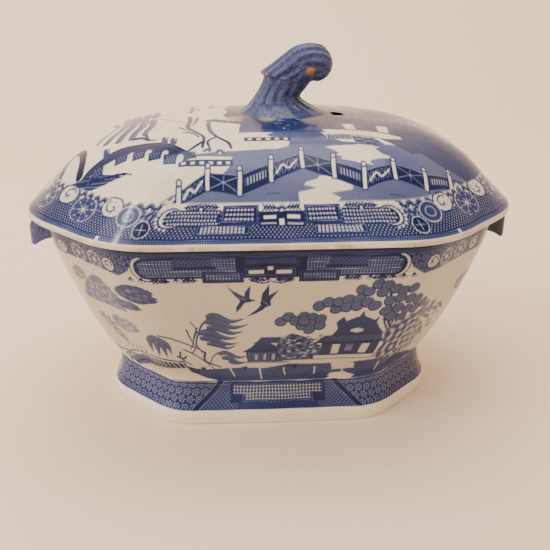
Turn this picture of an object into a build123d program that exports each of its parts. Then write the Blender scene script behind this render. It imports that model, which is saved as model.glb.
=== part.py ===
from build123d import *

import os

# Soup tureen with a lid, in press-moulded earthenware. Millimetres, +Z up.
# Origin: centre of the foot's underside. +X runs along the length, towards the right handle.
#
# Every horizontal section of the foot, the bowl and the lid is the same figure: a rectangle with
# canted corners, rounded arrises and long sides that bow out a little.
# A level is (z, half length, half width, cant along X, cant along Y, corner radius).

# Driving dimensions of the lid, which is the widest piece
RIM_HALF_LENGTH = 172.5
RIM_HALF_WIDTH = 115.0
RIM_CANT_X = 65.0
RIM_CANT_Y = 67.0
RIM_CORNER_RADIUS = 68.0
SIDE_BOW = 3.3
RIM_UNDERSIDE = 154.0
RIM_EDGE = 4.0
RIM_TOP = RIM_UNDERSIDE + RIM_EDGE
RIM_EDGE_INSET = 1.0
DOME = [(1.0, 0.0), (0.93, 11.7), (0.8, 34.0), (0.6, 51.5), (0.35, 58.0), (0.12, 61.0)]

# The bowl and the foot follow the rim's figure with a slightly smaller cant and tighter corners
BODY_CANT_FACTOR = 0.93
BODY_CORNER_FACTOR = 0.8

# Bowl: (z, half length, half width) from the joint with the foot up to the rim
BOWL_FLOOR = 33.0
BOWL_RIM = RIM_UNDERSIDE - 0.3
BOWL_LEVELS = [
    (BOWL_FLOOR, 117.5, 64.0),
    (60.0, 131.0, 77.5),
    (90.0, 143.0, 89.5),
    (120.0, 152.8, 99.5),
    (BOWL_RIM, 161.5, 107.5),
]
BOWL_WALL = 6.5
BOWL_FLOOR_THICKNESS = 6.0
BOWL_FLOOR_SPREAD = 3.0

# Foot: a hollow pedestal that flares down to a plain band
FOOT_HALF_LENGTH = 124.0
FOOT_HALF_WIDTH = 71.0
FOOT_BAND = 9.0
FOOT_BAND_INSET = 1.2
FOOT_FLARE = (9.0, 4.0, 3.6)
FOOT_WALL = 8.0

# Lid shell, its locating flange and the steam vent
LID_WALL = 6.0
LID_BRIM = 9.0
LID_WALL_AT_RIM = 0.35
FLANGE_DEPTH = 8.0
FLANGE_RISE = 12.0
FLANGE_WALL = 5.0
FLANGE_CLEARANCE = 3.0
VENT_RADIUS = 6.2
VENT_CENTRE = (47.0, -5.0)
VENT_DRILL = (204.0, 60.0)

# Handles: lugs luted under the rim at each end, rounded over at the top and hollowed below
# so that the fingertips reach in behind the outer lip
HANDLE_TOP = 151.0
HANDLE_REACH = 177.5
HANDLE_TIP = 127.0
HANDLE_ARCH = 131.5
HANDLE_HALF_WIDTH = 26.0
HANDLE_CORNER = 9.0
HANDLE_ROOT = 143.5
HANDLE_BEND = 12.0
HANDLE_SHOULDER = (3.0, 6.0)
HANDLE_LIP_HEIGHT = 8.0
HANDLE_LIP_DEPTH = 5.0
HANDLE_LIP_NOSE = (1.6, 1.0)
HANDLE_LIP_RISE = 0.8
HANDLE_ARCH_DEPTH = 11.0
GRIP_REACH = 172.3
GRIP_ROOT = 163.5
GRIP_HALF_WIDTH = 19.5
GRIP_TOP = 142.0

# Finial: (x, z, lean from vertical towards +X in degrees, half size in the plane, half depth)
FINIAL_SECTIONS = [
    (8.5, 214.0, 0.0, 31.0, 25.0),
    (7.0, 222.0, 0.0, 21.5, 18.0),
    (6.0, 231.0, 8.0, 15.0, 13.5),
    (9.0, 242.0, 38.0, 14.5, 14.0),
    (18.5, 250.0, 62.0, 14.5, 14.5),
    (29.0, 253.0, 90.0, 13.0, 14.0),
]
FINIAL_CURL = (32.0, 252.5, 13.3)


def section(z, half_length, half_width, cant_x, cant_y, radius):
    """The rounded, canted rectangle at height z."""
    x_flat = half_length - cant_x
    y_flat = half_width - cant_y
    end_bow = SIDE_BOW / 2
    with BuildSketch(Plane.XY.offset(z)) as sketch:
        with BuildLine():
            for side in (1, -1):
                ThreePointArc(
                    (side * x_flat, -side * half_width),
                    (0, -side * (half_width + SIDE_BOW)),
                    (-side * x_flat, -side * half_width),
                )
                ThreePointArc(
                    (side * half_length, -side * y_flat),
                    (side * (half_length + end_bow), 0),
                    (side * half_length, side * y_flat),
                )
                Line((side * x_flat, -side * half_width), (side * half_length, -side * y_flat))
                Line((side * x_flat, side * half_width), (side * half_length, side * y_flat))
        make_face()
        fillet(sketch.vertices(), radius)
    return sketch.sketch


def scaled_section(z, half_length, half_width, shrink=0.0):
    """A section whose corners keep the lid's proportions, drawn in by the given amount."""
    scale = half_length / RIM_HALF_LENGTH
    return section(
        z,
        half_length - shrink,
        half_width - shrink,
        RIM_CANT_X * scale - shrink / 2,
        RIM_CANT_Y * scale * BODY_CANT_FACTOR - shrink / 2,
        RIM_CORNER_RADIUS * scale * BODY_CORNER_FACTOR - shrink / 2,
    )


def make_bowl_outside():
    return loft([scaled_section(*level) for level in BOWL_LEVELS])


def make_bowl(outside):
    floor_top = BOWL_FLOOR + BOWL_FLOOR_THICKNESS
    floor_length = BOWL_LEVELS[0][1] + BOWL_FLOOR_SPREAD
    floor_width = BOWL_LEVELS[0][2] + BOWL_FLOOR_SPREAD
    levels = [(floor_top, floor_length, floor_width)] + BOWL_LEVELS[1:]
    inside = loft([scaled_section(*level, shrink=BOWL_WALL) for level in levels])
    return outside - inside


def make_foot():
    top_length, top_width = BOWL_LEVELS[0][1:]
    flare_height, flare_x, flare_y = FOOT_FLARE
    outer = [
        (0.0, FOOT_HALF_LENGTH - FOOT_BAND_INSET, FOOT_HALF_WIDTH - FOOT_BAND_INSET),
        (FOOT_BAND, FOOT_HALF_LENGTH, FOOT_HALF_WIDTH),
    ]
    flare = [
        (FOOT_BAND, FOOT_HALF_LENGTH, FOOT_HALF_WIDTH),
        (FOOT_BAND + flare_height, FOOT_HALF_LENGTH - flare_x, FOOT_HALF_WIDTH - flare_y),
        (BOWL_FLOOR, top_length, top_width),
    ]
    band = loft([scaled_section(*level) for level in outer])
    body = band + loft([scaled_section(*level) for level in flare])
    hollow = [
        (0.0, FOOT_HALF_LENGTH, FOOT_HALF_WIDTH),
        (BOWL_FLOOR, top_length, top_width),
    ]
    return body - loft([scaled_section(*level, shrink=FOOT_WALL) for level in hollow])


def lid_section(z, scale, shrink=0.0):
    """A lid section: the rim's figure scaled towards the centre and drawn in."""
    return section(
        z,
        RIM_HALF_LENGTH * scale - shrink,
        RIM_HALF_WIDTH * scale - shrink,
        RIM_CANT_X * scale - shrink / 2,
        RIM_CANT_Y * scale - shrink / 2,
        RIM_CORNER_RADIUS * scale - shrink / 2,
    )


def make_dome():
    return loft([lid_section(RIM_TOP + rise, scale) for scale, rise in DOME])


def make_lid_hollow():
    mouth = lid_section(RIM_UNDERSIDE, 1.0, LID_BRIM)
    sections = [mouth]
    for scale, rise in DOME[1:]:
        drop = LID_WALL * (LID_WALL_AT_RIM + (1 - LID_WALL_AT_RIM) * (1 - scale))
        sections.append(lid_section(RIM_TOP + rise - drop, scale, LID_WALL * scale))
    return loft(sections)


def make_lid(dome, hollow):
    edge = loft([lid_section(RIM_UNDERSIDE, 1.0, RIM_EDGE_INSET), lid_section(RIM_TOP, 1.0)])
    drill_height, drill_length = VENT_DRILL
    vent = Pos(VENT_CENTRE[0], VENT_CENTRE[1], drill_height) * Cylinder(VENT_RADIUS, drill_length)
    return edge + dome - hollow - vent


def make_flange(hollow):
    """The strip under the lid that stands just inside the bowl's mouth."""
    bottom = RIM_UNDERSIDE - FLANGE_DEPTH
    height = FLANGE_DEPTH + FLANGE_RISE
    length = BOWL_LEVELS[-1][1] - BOWL_WALL - FLANGE_CLEARANCE
    width = BOWL_LEVELS[-1][2] - BOWL_WALL - FLANGE_CLEARANCE
    outer = extrude(scaled_section(bottom, length, width), height)
    inner = extrude(scaled_section(bottom, length, width, shrink=FLANGE_WALL), height)
    strip = outer - inner
    slab = Box(2 * RIM_HALF_LENGTH, 2 * RIM_HALF_WIDTH, FLANGE_DEPTH)
    below = strip & Pos(0, 0, bottom + FLANGE_DEPTH / 2) * slab
    return below + (strip & hollow)


def make_handle(bowl_outside):
    """The right-hand handle: a lug that rounds over and down, open underneath for the fingers."""
    bend = (HANDLE_REACH - HANDLE_BEND, HANDLE_TOP)
    shoulder = (HANDLE_REACH - HANDLE_SHOULDER[0], HANDLE_TOP - HANDLE_SHOULDER[1])
    lip_top = (HANDLE_REACH, HANDLE_TIP + HANDLE_LIP_HEIGHT)
    nose = (HANDLE_REACH - HANDLE_LIP_NOSE[0], HANDLE_TIP + HANDLE_LIP_NOSE[1])
    lip_back = (HANDLE_REACH - HANDLE_LIP_DEPTH, HANDLE_TIP + HANDLE_LIP_RISE)
    arch = (HANDLE_REACH - HANDLE_ARCH_DEPTH, HANDLE_ARCH)
    root_low = (HANDLE_ROOT, HANDLE_TIP + HANDLE_LIP_NOSE[1])
    root_high = (HANDLE_ROOT, HANDLE_TOP)
    with BuildSketch(Plane.XZ) as profile:
        with BuildLine():
            Line(root_high, bend)
            ThreePointArc(bend, shoulder, lip_top)
            ThreePointArc(lip_top, nose, lip_back)
            ThreePointArc(lip_back, arch, root_low)
            Line(root_low, root_high)
        make_face()
    lug = extrude(profile.sketch, HANDLE_HALF_WIDTH, both=True)
    with BuildSketch() as outline:
        with Locations((HANDLE_REACH / 2, 0)):
            Rectangle(HANDLE_REACH, 2 * HANDLE_HALF_WIDTH)
        fillet(outline.vertices().group_by(Axis.X)[-1], HANDLE_CORNER)
    shaped = lug & extrude(outline.sketch, HANDLE_TOP)
    grip_depth = GRIP_REACH - GRIP_ROOT
    grip_place = Pos(GRIP_ROOT + grip_depth / 2, 0, GRIP_TOP / 2)
    grip = grip_place * Box(grip_depth, 2 * GRIP_HALF_WIDTH, GRIP_TOP)
    return shaped - bowl_outside - grip


def make_finial(dome):
    """A breaking-wave knob that rises from the middle of the lid and curls to the right."""
    sections = []
    for x, z, lean, half_size, half_depth in FINIAL_SECTIONS:
        direction = Vector(0, 0, 1).rotate(Axis.Y, lean)
        plane = Plane(origin=(x, 0, z), x_dir=Vector(0, 1, 0), z_dir=direction)
        sections.append(plane * Ellipse(half_depth, half_size))
    x, z, radius = FINIAL_CURL
    return loft(sections) + Pos(x, 0, z) * Sphere(radius) - dome


def main():
    os.makedirs("parts", exist_ok=True)
    outside = make_bowl_outside()
    dome = make_dome()
    hollow = make_lid_hollow()
    handle = make_handle(outside)
    parts = {
        "bowl": make_bowl(outside),
        "foot": make_foot(),
        "handle_right": handle,
        "handle_left": mirror(handle, Plane.YZ),
        "lid": make_lid(dome, hollow),
        "lid_flange": make_flange(hollow),
        "finial": make_finial(dome),
    }
    for name, shape in parts.items():
        export_step(shape, f"parts/{name}.step")
        print(name, round(shape.volume), shape.bounding_box())


main()
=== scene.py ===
import math

import bpy
import numpy as np
from mathutils import Matrix, Vector


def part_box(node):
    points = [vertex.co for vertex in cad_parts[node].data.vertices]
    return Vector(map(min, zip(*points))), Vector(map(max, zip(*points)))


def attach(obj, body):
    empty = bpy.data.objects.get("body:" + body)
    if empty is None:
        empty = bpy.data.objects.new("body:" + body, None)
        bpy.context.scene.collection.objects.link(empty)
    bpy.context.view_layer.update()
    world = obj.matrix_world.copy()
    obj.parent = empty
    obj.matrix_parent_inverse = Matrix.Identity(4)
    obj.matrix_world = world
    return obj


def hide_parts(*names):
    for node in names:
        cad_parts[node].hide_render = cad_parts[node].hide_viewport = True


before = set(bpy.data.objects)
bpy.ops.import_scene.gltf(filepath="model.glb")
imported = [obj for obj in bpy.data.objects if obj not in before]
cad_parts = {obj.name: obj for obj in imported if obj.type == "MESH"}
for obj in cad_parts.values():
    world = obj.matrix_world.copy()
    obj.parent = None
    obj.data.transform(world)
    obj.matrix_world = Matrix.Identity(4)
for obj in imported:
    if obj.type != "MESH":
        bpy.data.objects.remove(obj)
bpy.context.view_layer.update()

# ---------------------------------------------------------------------------------------------
# Sizes, in millimetres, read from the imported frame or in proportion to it
# ---------------------------------------------------------------------------------------------

LID_LOW, LID_HIGH = [corner * 1000 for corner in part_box("lid")]
FOOT_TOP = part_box("foot")[1].z * 1000

SIDE_BOW = 3.3
RIM_LENGTH = LID_HIGH.x - SIDE_BOW / 2
RIM_WIDTH = LID_HIGH.y - SIDE_BOW
CANT_X, CANT_Y, CORNER = 65.0, 67.0, 68.0
BODY_CANT_FACTOR, BODY_CORNER_FACTOR = 0.93, 0.8
RIM_EDGE = 4.0
RIM_TOP = LID_LOW.z + RIM_EDGE
LID_WALL = 6.0
LID_WALL_AT_RIM = 0.35
VENT_PLACE, VENT_RADIUS = (47.0, -5.0), 6.2
DOME_SCALE = [0.0, 0.12, 0.35, 0.6, 0.8, 0.93, 1.0]
DOME_RISE = [61.3, 61.0, 58.0, 51.5, 34.0, 11.7, 0.0]

BOWL_Z = [33.0, 60.0, 90.0, 120.0, 153.7]
BOWL_LENGTH = [117.5, 131.0, 143.0, 152.8, 161.5]
BOWL_WIDTH = [64.0, 77.5, 89.5, 99.5, 107.5]
BOWL_WALL = 6.5
BOWL_FLOOR = 39.0
FLOOR_CURVE = 9

FOOT_Z = [0.0, 9.0, 18.0, 33.0]
FOOT_LENGTH = [122.8, 124.0, 120.0, 117.5]
FOOT_WIDTH = [69.8, 71.0, 67.4, 64.0]
FOOT_WALL = 8.0

# The knob's path: (x, z, lean from vertical towards the right, half size in the plane, half depth)
KNOB = [
    (9.0, 216.5, 0, 37, 28), (7.6, 221.5, 0, 26, 21), (5.8, 226, 0, 19.3, 16), (6.2, 231, 5, 15.2, 13.8),
    (10.0, 237.5, 11, 15.0, 13.5), (11.4, 241.2, 11, 16.2, 13.6), (11.3, 243.2, 10.5, 18.0, 14),
    (16.5, 246.5, 22.5, 15.7, 14.4), (20.6, 249.4, 40.5, 14.1, 14.3), (25, 252.2, 59, 13.7, 14),
    (30.2, 253, 76, 13.4, 13.8), (36, 252.6, 90, 12.2, 12.6), (40, 252, 92, 9.8, 10),
    (43.5, 251.6, 92, 5.6, 5.8), (45.2, 251.4, 92, 0.3, 0.3),
]
KNOB_AROUND, KNOB_STEPS = 360, 14
RIDGES, RIDGE_DEPTH, RIDGE_TWIST = 14, 0.5, 0.5
FOLD_DEPTH, FOLD_WIDTH, FOLD_TWIST, FOLD_TURN = 1.5, 0.16, 0.11, math.radians(250)
# Worn spots on the knob: (place, radius, how worn)
KNOB_WEAR = [((28, -13, 248), 3.2, 0.8), ((-6, -2, 245), 3.5, 0.5), ((-4, -8, 244), 3.0, 0.35)]

AROUND = 1920
BARE = np.zeros(AROUND)
MM = 0.001


# ---------------------------------------------------------------------------------------------
# Shapes: outlines, smooth profiles and grids of rings
# ---------------------------------------------------------------------------------------------

def smooth(x, knots, values):
    """A smooth curve through the given knots, for a number or an array."""
    knots, values = np.array(knots, float), np.array(values, float)
    slope = np.diff(values) / np.diff(knots)
    tangent = np.r_[slope[0], (slope[1:] + slope[:-1]) / 2, slope[-1]]
    k = np.clip(np.searchsorted(knots, x) - 1, 0, len(knots) - 2)
    span = knots[k + 1] - knots[k]
    s = np.clip((x - knots[k]) / span, 0, 1)
    start = (1 + 2 * s) * (1 - s) ** 2 * values[k] + s * (1 - s) ** 2 * span * tangent[k]
    end = s * s * (3 - 2 * s) * values[k + 1] + s * s * (s - 1) * span * tangent[k + 1]
    return start + end


def rounded_corner(before, corner, after, radius, most):
    """Points of the arc that rounds one corner."""
    back = (before - corner) / np.linalg.norm(before - corner)
    ahead = (after - corner) / np.linalg.norm(after - corner)
    half = math.acos(float(back @ ahead)) / 2
    run = min(radius / math.tan(half), most)
    true_radius = run * math.tan(half)
    middle = (back + ahead) / np.linalg.norm(back + ahead)
    centre = corner + middle * true_radius / math.sin(half)
    first, last = corner + back * run - centre, corner + ahead * run - centre
    sweep = math.pi - 2 * half
    steps = np.linspace(0, 1, 25)[:, None]
    arc = np.sin((1 - steps) * sweep) * first + np.sin(steps * sweep) * last
    return centre + arc / math.sin(sweep)


def outline(length, width, cant_x, cant_y, radius, count=AROUND, bow=SIDE_BOW):
    """The rounded canted rectangle, from the left end's middle through the front and round."""
    left = np.array([-length, 0.0])
    upper = np.array([-length, -(width - cant_y)])
    lower = np.array([-(length - cant_x), -width])
    front = np.array([0.0, -width])
    most = 0.48 * np.linalg.norm(lower - upper)
    points = np.vstack([
        left,
        rounded_corner(left, upper, lower, radius, min(most, 0.95 * (width - cant_y))),
        rounded_corner(upper, lower, front, radius, most),
        front,
    ])
    x, y = points[:, 0].copy(), points[:, 1].copy()
    points[:, 1] -= bow * (1 - (x / length) ** 2) * (y / width) ** 2
    points[:, 0] -= bow / 2 * (1 - (y / width) ** 2) * (x / length) ** 4
    run = np.r_[0, np.cumsum(np.linalg.norm(np.diff(points, axis=0), axis=1))]
    even = np.linspace(0, run[-1], count // 4 + 1)
    quarter = np.stack([np.interp(even, run, points[:, i]) for i in (0, 1)], 1)
    half = np.vstack([quarter[:-1], (quarter * [-1, 1])[::-1][:-1]])
    return np.vstack([half, -half])


def perimeter(points):
    return float(np.linalg.norm(points - np.roll(points, 1, axis=0), axis=1).sum())


RIM = outline(RIM_LENGTH, RIM_WIDTH, CANT_X, CANT_Y, CORNER)
RIM_HALF_ROUND = perimeter(RIM) / 2


def body_outline(length, width, shrink=0.0):
    scale = length / RIM_LENGTH
    return outline(
        length - shrink,
        width - shrink,
        CANT_X * scale - shrink / 2,
        CANT_Y * scale * BODY_CANT_FACTOR - shrink / 2,
        CORNER * scale * BODY_CORNER_FACTOR - shrink / 2,
    )


def bowl_outline(z, shrink=0.0):
    return body_outline(
        float(smooth(z, BOWL_Z, BOWL_LENGTH)), float(smooth(z, BOWL_Z, BOWL_WIDTH)), shrink)


def foot_outline(z, shrink=0.0):
    return body_outline(
        float(smooth(z, FOOT_Z, FOOT_LENGTH)), float(smooth(z, FOOT_Z, FOOT_WIDTH)), shrink)


BOWL_HALF_ROUND = 421.0  # half way round the bowl in the units that its print is drawn in
FOOT_HALF_ROUND = perimeter(foot_outline(15.0)) / 2


def ring(points, z):
    return np.column_stack([points, np.full(len(points), float(z))])


def open_hole(vertices, faces, place, radius, depth):
    """Cut a round hole through every layer of a shell and line it with a wall."""
    across = vertices[:, :2] - np.array(place)
    away = np.hypot(*across.T)
    gone = (away[faces] < radius).any(axis=1)
    edge = np.intersect1d(faces[gone], faces[~gone])
    vertices[edge, :2] = place + across[edge] / away[edge, None] * radius
    top = edge[vertices[edge, 2] > vertices[edge, 2].mean()]
    top = top[np.argsort(np.arctan2(*across[top].T))]
    foot = vertices[top] - [0, 0, depth]
    first = len(vertices) + np.arange(len(top))
    wall = np.stack([top, np.roll(top, -1), np.roll(first, -1), first], 1)
    return np.vstack([vertices, foot]), np.vstack([faces[~gone], wall])


def ring_mesh(name, rings, values, closed_ends=True, attribute="ink", hole=None):
    """A mesh through stacked rings, with one value, such as the printed ink, on each vertex."""
    rings = np.array(rings)
    count, around = rings.shape[:2]
    vertices = rings.reshape(-1, 3)
    i, j = np.meshgrid(np.arange(count - 1), np.arange(around), indexing="ij")
    a = (i * around + j).ravel()
    b = (i * around + (j + 1) % around).ravel()
    faces = np.stack([a, b, b + around, a + around], 1)
    values = np.array(values, np.float32).ravel()
    if hole:
        vertices, faces = open_hole(vertices, faces, *hole)
        values = np.r_[values, np.zeros(len(vertices) - len(values), np.float32)]
    vertices = vertices * MM
    mesh = bpy.data.meshes.new(name)
    mesh.vertices.add(len(vertices))
    mesh.vertices.foreach_set("co", vertices.ravel())
    ends = []
    if closed_ends:
        ends = [range(around - 1, -1, -1), range((count - 1) * around, count * around)]
    loops = np.concatenate([faces.ravel()] + [np.array(end) for end in ends])
    mesh.loops.add(len(loops))
    mesh.loops.foreach_set("vertex_index", loops)
    starts = list(range(0, 4 * len(faces), 4))
    starts += [4 * len(faces) + k * around for k in range(len(ends))]
    mesh.polygons.add(len(starts))
    mesh.polygons.foreach_set("loop_start", starts)
    mesh.update(calc_edges=True)
    mesh.validate()
    mesh.shade_smooth()
    layer = mesh.attributes.new(attribute, "FLOAT", "POINT")
    layer.data.foreach_set("value", values.astype(np.float32))
    piece = bpy.data.objects.new(name, mesh)
    bpy.context.scene.collection.objects.link(piece)
    return piece


# ---------------------------------------------------------------------------------------------
# The print: a canvas of ink on one unrolled surface, 0 for bare glaze and 1 for the darkest blue
# ---------------------------------------------------------------------------------------------

CELL = 0.3
PALE, WASH, MID, DEEP = 0.28, 0.45, 0.68, 0.95


class Pen:
    """What every kind of page can draw with its own stroke."""

    def hoop(self, x, y, radius, width, ink, start=0, end=360):
        angles = np.radians(np.linspace(start, end, 40))
        self.stroke(np.column_stack([x + radius * np.cos(angles), y + radius * np.sin(angles)]), width, ink)


class Canvas(Pen):
    """A grid of ink over one unrolled surface, in millimetres."""

    def __init__(self, left, right, low, high):
        self.left, self.low = left, low
        self.x = np.arange(left, right + CELL, CELL)
        self.y = np.arange(low, high + CELL, CELL)
        self.ink = np.zeros((len(self.y), len(self.x)))

    def window(self, points, margin):
        points = np.array(points, float)
        x0, y0 = points.min(0) - margin
        x1, y1 = points.max(0) + margin
        i = slice(*np.clip(np.searchsorted(self.x, [x0, x1]), 0, len(self.x)))
        j = slice(*np.clip(np.searchsorted(self.y, [y0, y1]), 0, len(self.y)))
        return (j, i), *np.meshgrid(self.x[i], self.y[j])

    def paint(self, where, cover, ink):
        self.ink[where] = self.ink[where] * (1 - cover) + ink * cover

    def stroke(self, points, width, ink, tip=1.0):
        """A brush line; its width runs from width to tip times width."""
        points = np.array(points, float)
        where, x, y = self.window(points, width)
        if x.size == 0:
            return
        best = np.full(x.shape, 1e9)
        count = len(points) - 1
        for k in range(count):
            p, d = points[k], points[k + 1] - points[k]
            s = np.clip(((x - p[0]) * d[0] + (y - p[1]) * d[1]) / max(d @ d, 1e-9), 0, 1)
            away = np.hypot(x - p[0] - s * d[0], y - p[1] - s * d[1])
            half = width / 2 * (1 + (tip - 1) * (k + s) / count)
            best = np.minimum(best, away - half)
        self.paint(where, np.clip(0.5 - best / CELL, 0, 1), ink)

    def curve(self, points, width, ink, tip=1.0):
        """A brush line bent smoothly through its points."""
        points = np.array(points, float)
        knots = np.arange(len(points))
        fine = np.linspace(0, len(points) - 1, 8 * (len(points) - 1) + 1)
        smoothed = np.stack([smooth(fine, knots, points[:, i]) for i in (0, 1)], 1)
        self.stroke(smoothed, width, ink, tip)

    def cover(self, points, x, y):
        """How much of each cell a polygon covers."""
        points = np.array(points, float)
        inside = np.zeros(x.shape, bool)
        best = np.full(x.shape, 1e9)
        for p, q in zip(points, np.roll(points, -1, axis=0)):
            d = q - p
            s = np.clip(((x - p[0]) * d[0] + (y - p[1]) * d[1]) / max(d @ d, 1e-9), 0, 1)
            best = np.minimum(best, np.hypot(x - p[0] - s * d[0], y - p[1] - s * d[1]))
            crosses = (p[1] > y) != (q[1] > y)
            step = d[1] if abs(d[1]) > 1e-9 else 1e-9
            inside ^= crosses & (x < p[0] + (y - p[1]) * d[0] / step)
        return np.clip(0.5 + np.where(inside, best, -best) / CELL, 0, 1)

    def fill(self, points, ink, texture=None):
        """A filled polygon, plain or with a texture(x, y) that gives the ink."""
        where, x, y = self.window(points, 1.0)
        if x.size == 0:
            return
        value = ink if texture is None else texture(x, y)
        self.paint(where, self.cover(points, x, y), value)

    def bar(self, x0, y0, x1, y1, ink, texture=None):
        self.fill([(x0, y0), (x1, y0), (x1, y1), (x0, y1)], ink, texture)

    def frame(self, x0, y0, x1, y1, width, ink):
        corners = [(x0, y0), (x1, y0), (x1, y1), (x0, y1), (x0, y0)]
        self.stroke(corners, width, ink)

    def disc(self, x, y, radius, ink, flat=1.0):
        where, gx, gy = self.window([(x, y)], radius + 1)
        if gx.size == 0:
            return
        away = np.hypot(gx - x, (gy - y) / flat)
        self.paint(where, np.clip(0.5 - (away - radius) / CELL, 0, 1), ink)

    def sample(self, x, y):
        """The ink at places on the surface, with the slight waver of a transfer laid by hand."""
        x, y = x + 0.22 * np.sin(y / 3.1 + x / 7.3), y + 0.16 * np.sin(x / 5.3 - y / 4.1)
        fx = np.clip((x - self.left) / CELL, 0, len(self.x) - 1.001)
        fy = np.clip((y - self.low) / CELL, 0, len(self.y) - 1.001)
        i, j = fx.astype(int), fy.astype(int)
        fx, fy = fx - i, fy - j
        top = self.ink[j, i] * (1 - fx) + self.ink[j, i + 1] * fx
        bottom = self.ink[j + 1, i] * (1 - fx) + self.ink[j + 1, i + 1] * fx
        return top * (1 - fy) + bottom * fy


class Flattened(Pen):
    """Draws round motifs on a canvas as ellipses about one height."""

    def __init__(self, page, middle, flat):
        self.page, self.middle, self.flat = page, middle, flat

    def level(self, y):
        return self.middle + (y - self.middle) * self.flat

    def disc(self, x, y, radius, ink):
        self.page.disc(x, self.level(y), radius, ink, self.flat)

    def stroke(self, points, width, ink, tip=1.0):
        self.page.stroke([(x, self.level(y)) for x, y in points], width, ink, tip)


# Repeating grounds. Each gives the ink at (x, y).

def dotted(pitch=2.6, dot=0.58, ground=0.95, light=0.14, row_share=0.58):
    step = pitch * row_share

    def texture(x, y):
        dx = (x / pitch + 0.5 * (np.floor(y / step) % 2)) % 1 - 0.5
        away = np.hypot(dx * pitch, ((y / step) % 1 - 0.5) * step)
        return ground + (light - ground) * np.clip(0.5 + (dot - away) / 0.5, 0, 1)
    return texture


def lattice(pitch=3.0, line=0.9, ground=0.85, light=0.05):
    """A white grid with blue squares."""
    def texture(x, y):
        dx = np.abs((x / pitch) % 1 - 0.5) * pitch
        dy = np.abs((y / pitch) % 1 - 0.5) * pitch
        edge = pitch / 2 - np.maximum(dx, dy)
        return ground + (light - ground) * np.clip(0.5 + (line / 2 - edge) / 0.5, 0, 1)
    return texture


def hatched(pitch=1.8, angle=45.0, ground=0.85, light=0.15, share=0.4):
    c, s = math.cos(math.radians(angle)), math.sin(math.radians(angle))

    def texture(x, y):
        across = np.abs(((x * c + y * s) / pitch) % 1 - 0.5) * 2
        return ground + (light - ground) * np.clip(0.5 + (share - across) / 0.5, 0, 1)
    return texture


def crossed(pitch=2.4, ground=0.88, light=0.15):
    first, second = hatched(pitch, 45, ground, light, 0.3), hatched(pitch, -45, ground, light, 0.3)
    return lambda x, y: np.minimum(first(x, y), second(x, y))


def curled(pitch=6.0, ground=0.85, light=0.12):
    """Small light rosettes joined by curls, as on a vermicelli ground."""
    def texture(x, y):
        row = np.floor(y / (pitch * 0.86))
        px = ((x / pitch + 0.5 * (row % 2)) % 1 - 0.5) * pitch
        py = ((y / (pitch * 0.86)) % 1 - 0.5) * pitch * 0.86
        away = np.hypot(px, py)
        angle = np.arctan2(py, px)
        petal = np.abs(away - 2.0 - 0.35 * np.cos(5 * angle)) - 0.36
        centre = away - 0.6
        link = np.abs(np.sin(3 * angle + row)) * 1.2 + np.abs(away - 3.1) - 0.5
        shape = np.minimum(np.minimum(petal, centre), link)
        return ground + (light - ground) * np.clip(0.5 - shape / 0.6, 0, 1)
    return texture


def mottled(ground, light, size=3.0, seed=0):
    """Loose foliage: soft blotches of two inks."""
    wave = np.random.default_rng(seed).uniform(0, 2 * math.pi, (5, 2))

    def texture(x, y):
        total = 0
        for k, (a, b) in enumerate(wave):
            turn = k * 1.3
            total = total + np.sin((x * math.cos(turn) + y * math.sin(turn)) * 2 * math.pi / size + a) \
                * np.cos((y * math.cos(turn) - x * math.sin(turn)) * 4.1 / size + b)
        return ground + (light - ground) * np.clip(total * 0.5 + 0.45, 0, 1)
    return texture


# ------------------------------ motifs ------------------------------

def span(middle, side, near, far):
    """The two ends of a stretch on one side of a middle, in rising order."""
    return sorted((middle + side * near, middle + side * far))


def white_curl(page, x, y, r, turn=0.0):
    """A white scroll disc with a spiral and spots."""
    page.disc(x, y, r + 0.9, DEEP)
    page.disc(x, y, r, 0.04)
    angles = np.linspace(0, 1.6 * math.pi, 30) + turn
    radii = np.linspace(0.75, 0.1, 30) * r
    path = np.column_stack([x + radii * np.cos(angles), y + radii * np.sin(angles)])
    page.stroke(path, 0.8, MID, tip=1.6)
    for k in range(7):
        angle = turn + 0.9 * k
        page.disc(x + 0.55 * r * math.cos(angle), y + 0.55 * r * math.sin(angle), 0.55, 0.75)
    for k in range(10):
        angle = turn + k * 2 * math.pi / 10
        page.disc(x + 0.86 * r * math.cos(angle), y + 0.86 * r * math.sin(angle), 0.4, 0.6)


def blue_flower(page, x, y, r):
    """A blue roundel with a pale cross of petals and curls."""
    page.disc(x, y, r + 0.7, 0.1)
    page.disc(x, y, r, MID)
    for k in range(8):
        angle = k * math.pi / 4 + 0.2
        far = 0.75 if k % 2 else 0.9
        tip = (x + far * r * math.cos(angle), y + far * r * math.sin(angle))
        page.stroke([(x, y), tip], 0.8, 0.12, tip=0.5)
        page.disc(*tip, 0.9, 0.2)
    page.hoop(x, y, 0.55 * r, 0.5, DEEP)
    page.disc(x, y, 1.2, 0.05)


def cross_disc(page, x, y, r):
    page.disc(x, y, r + 0.8, 0.1)
    page.disc(x, y, r, DEEP)
    page.stroke([(x - r * 0.7, y), (x + r * 0.7, y)], 0.7, 0.15)
    page.stroke([(x, y - r * 0.7), (x, y + r * 0.7)], 0.7, 0.15)


def leaf_spray(page, x, y, size, way=1):
    """A few pointed leaves either side of a stem."""
    page.stroke([(x, y), (x + way * size, y + 1.0)], 0.6, DEEP)
    for k in range(4):
        base = x + way * size * (0.15 + 0.25 * k)
        page.stroke([(base, y), (base + way * 2.4, y + 2.6)], 1.3, DEEP, tip=0.2)
        page.stroke([(base, y), (base + way * 2.4, y - 1.8)], 1.1, DEEP, tip=0.2)


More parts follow.
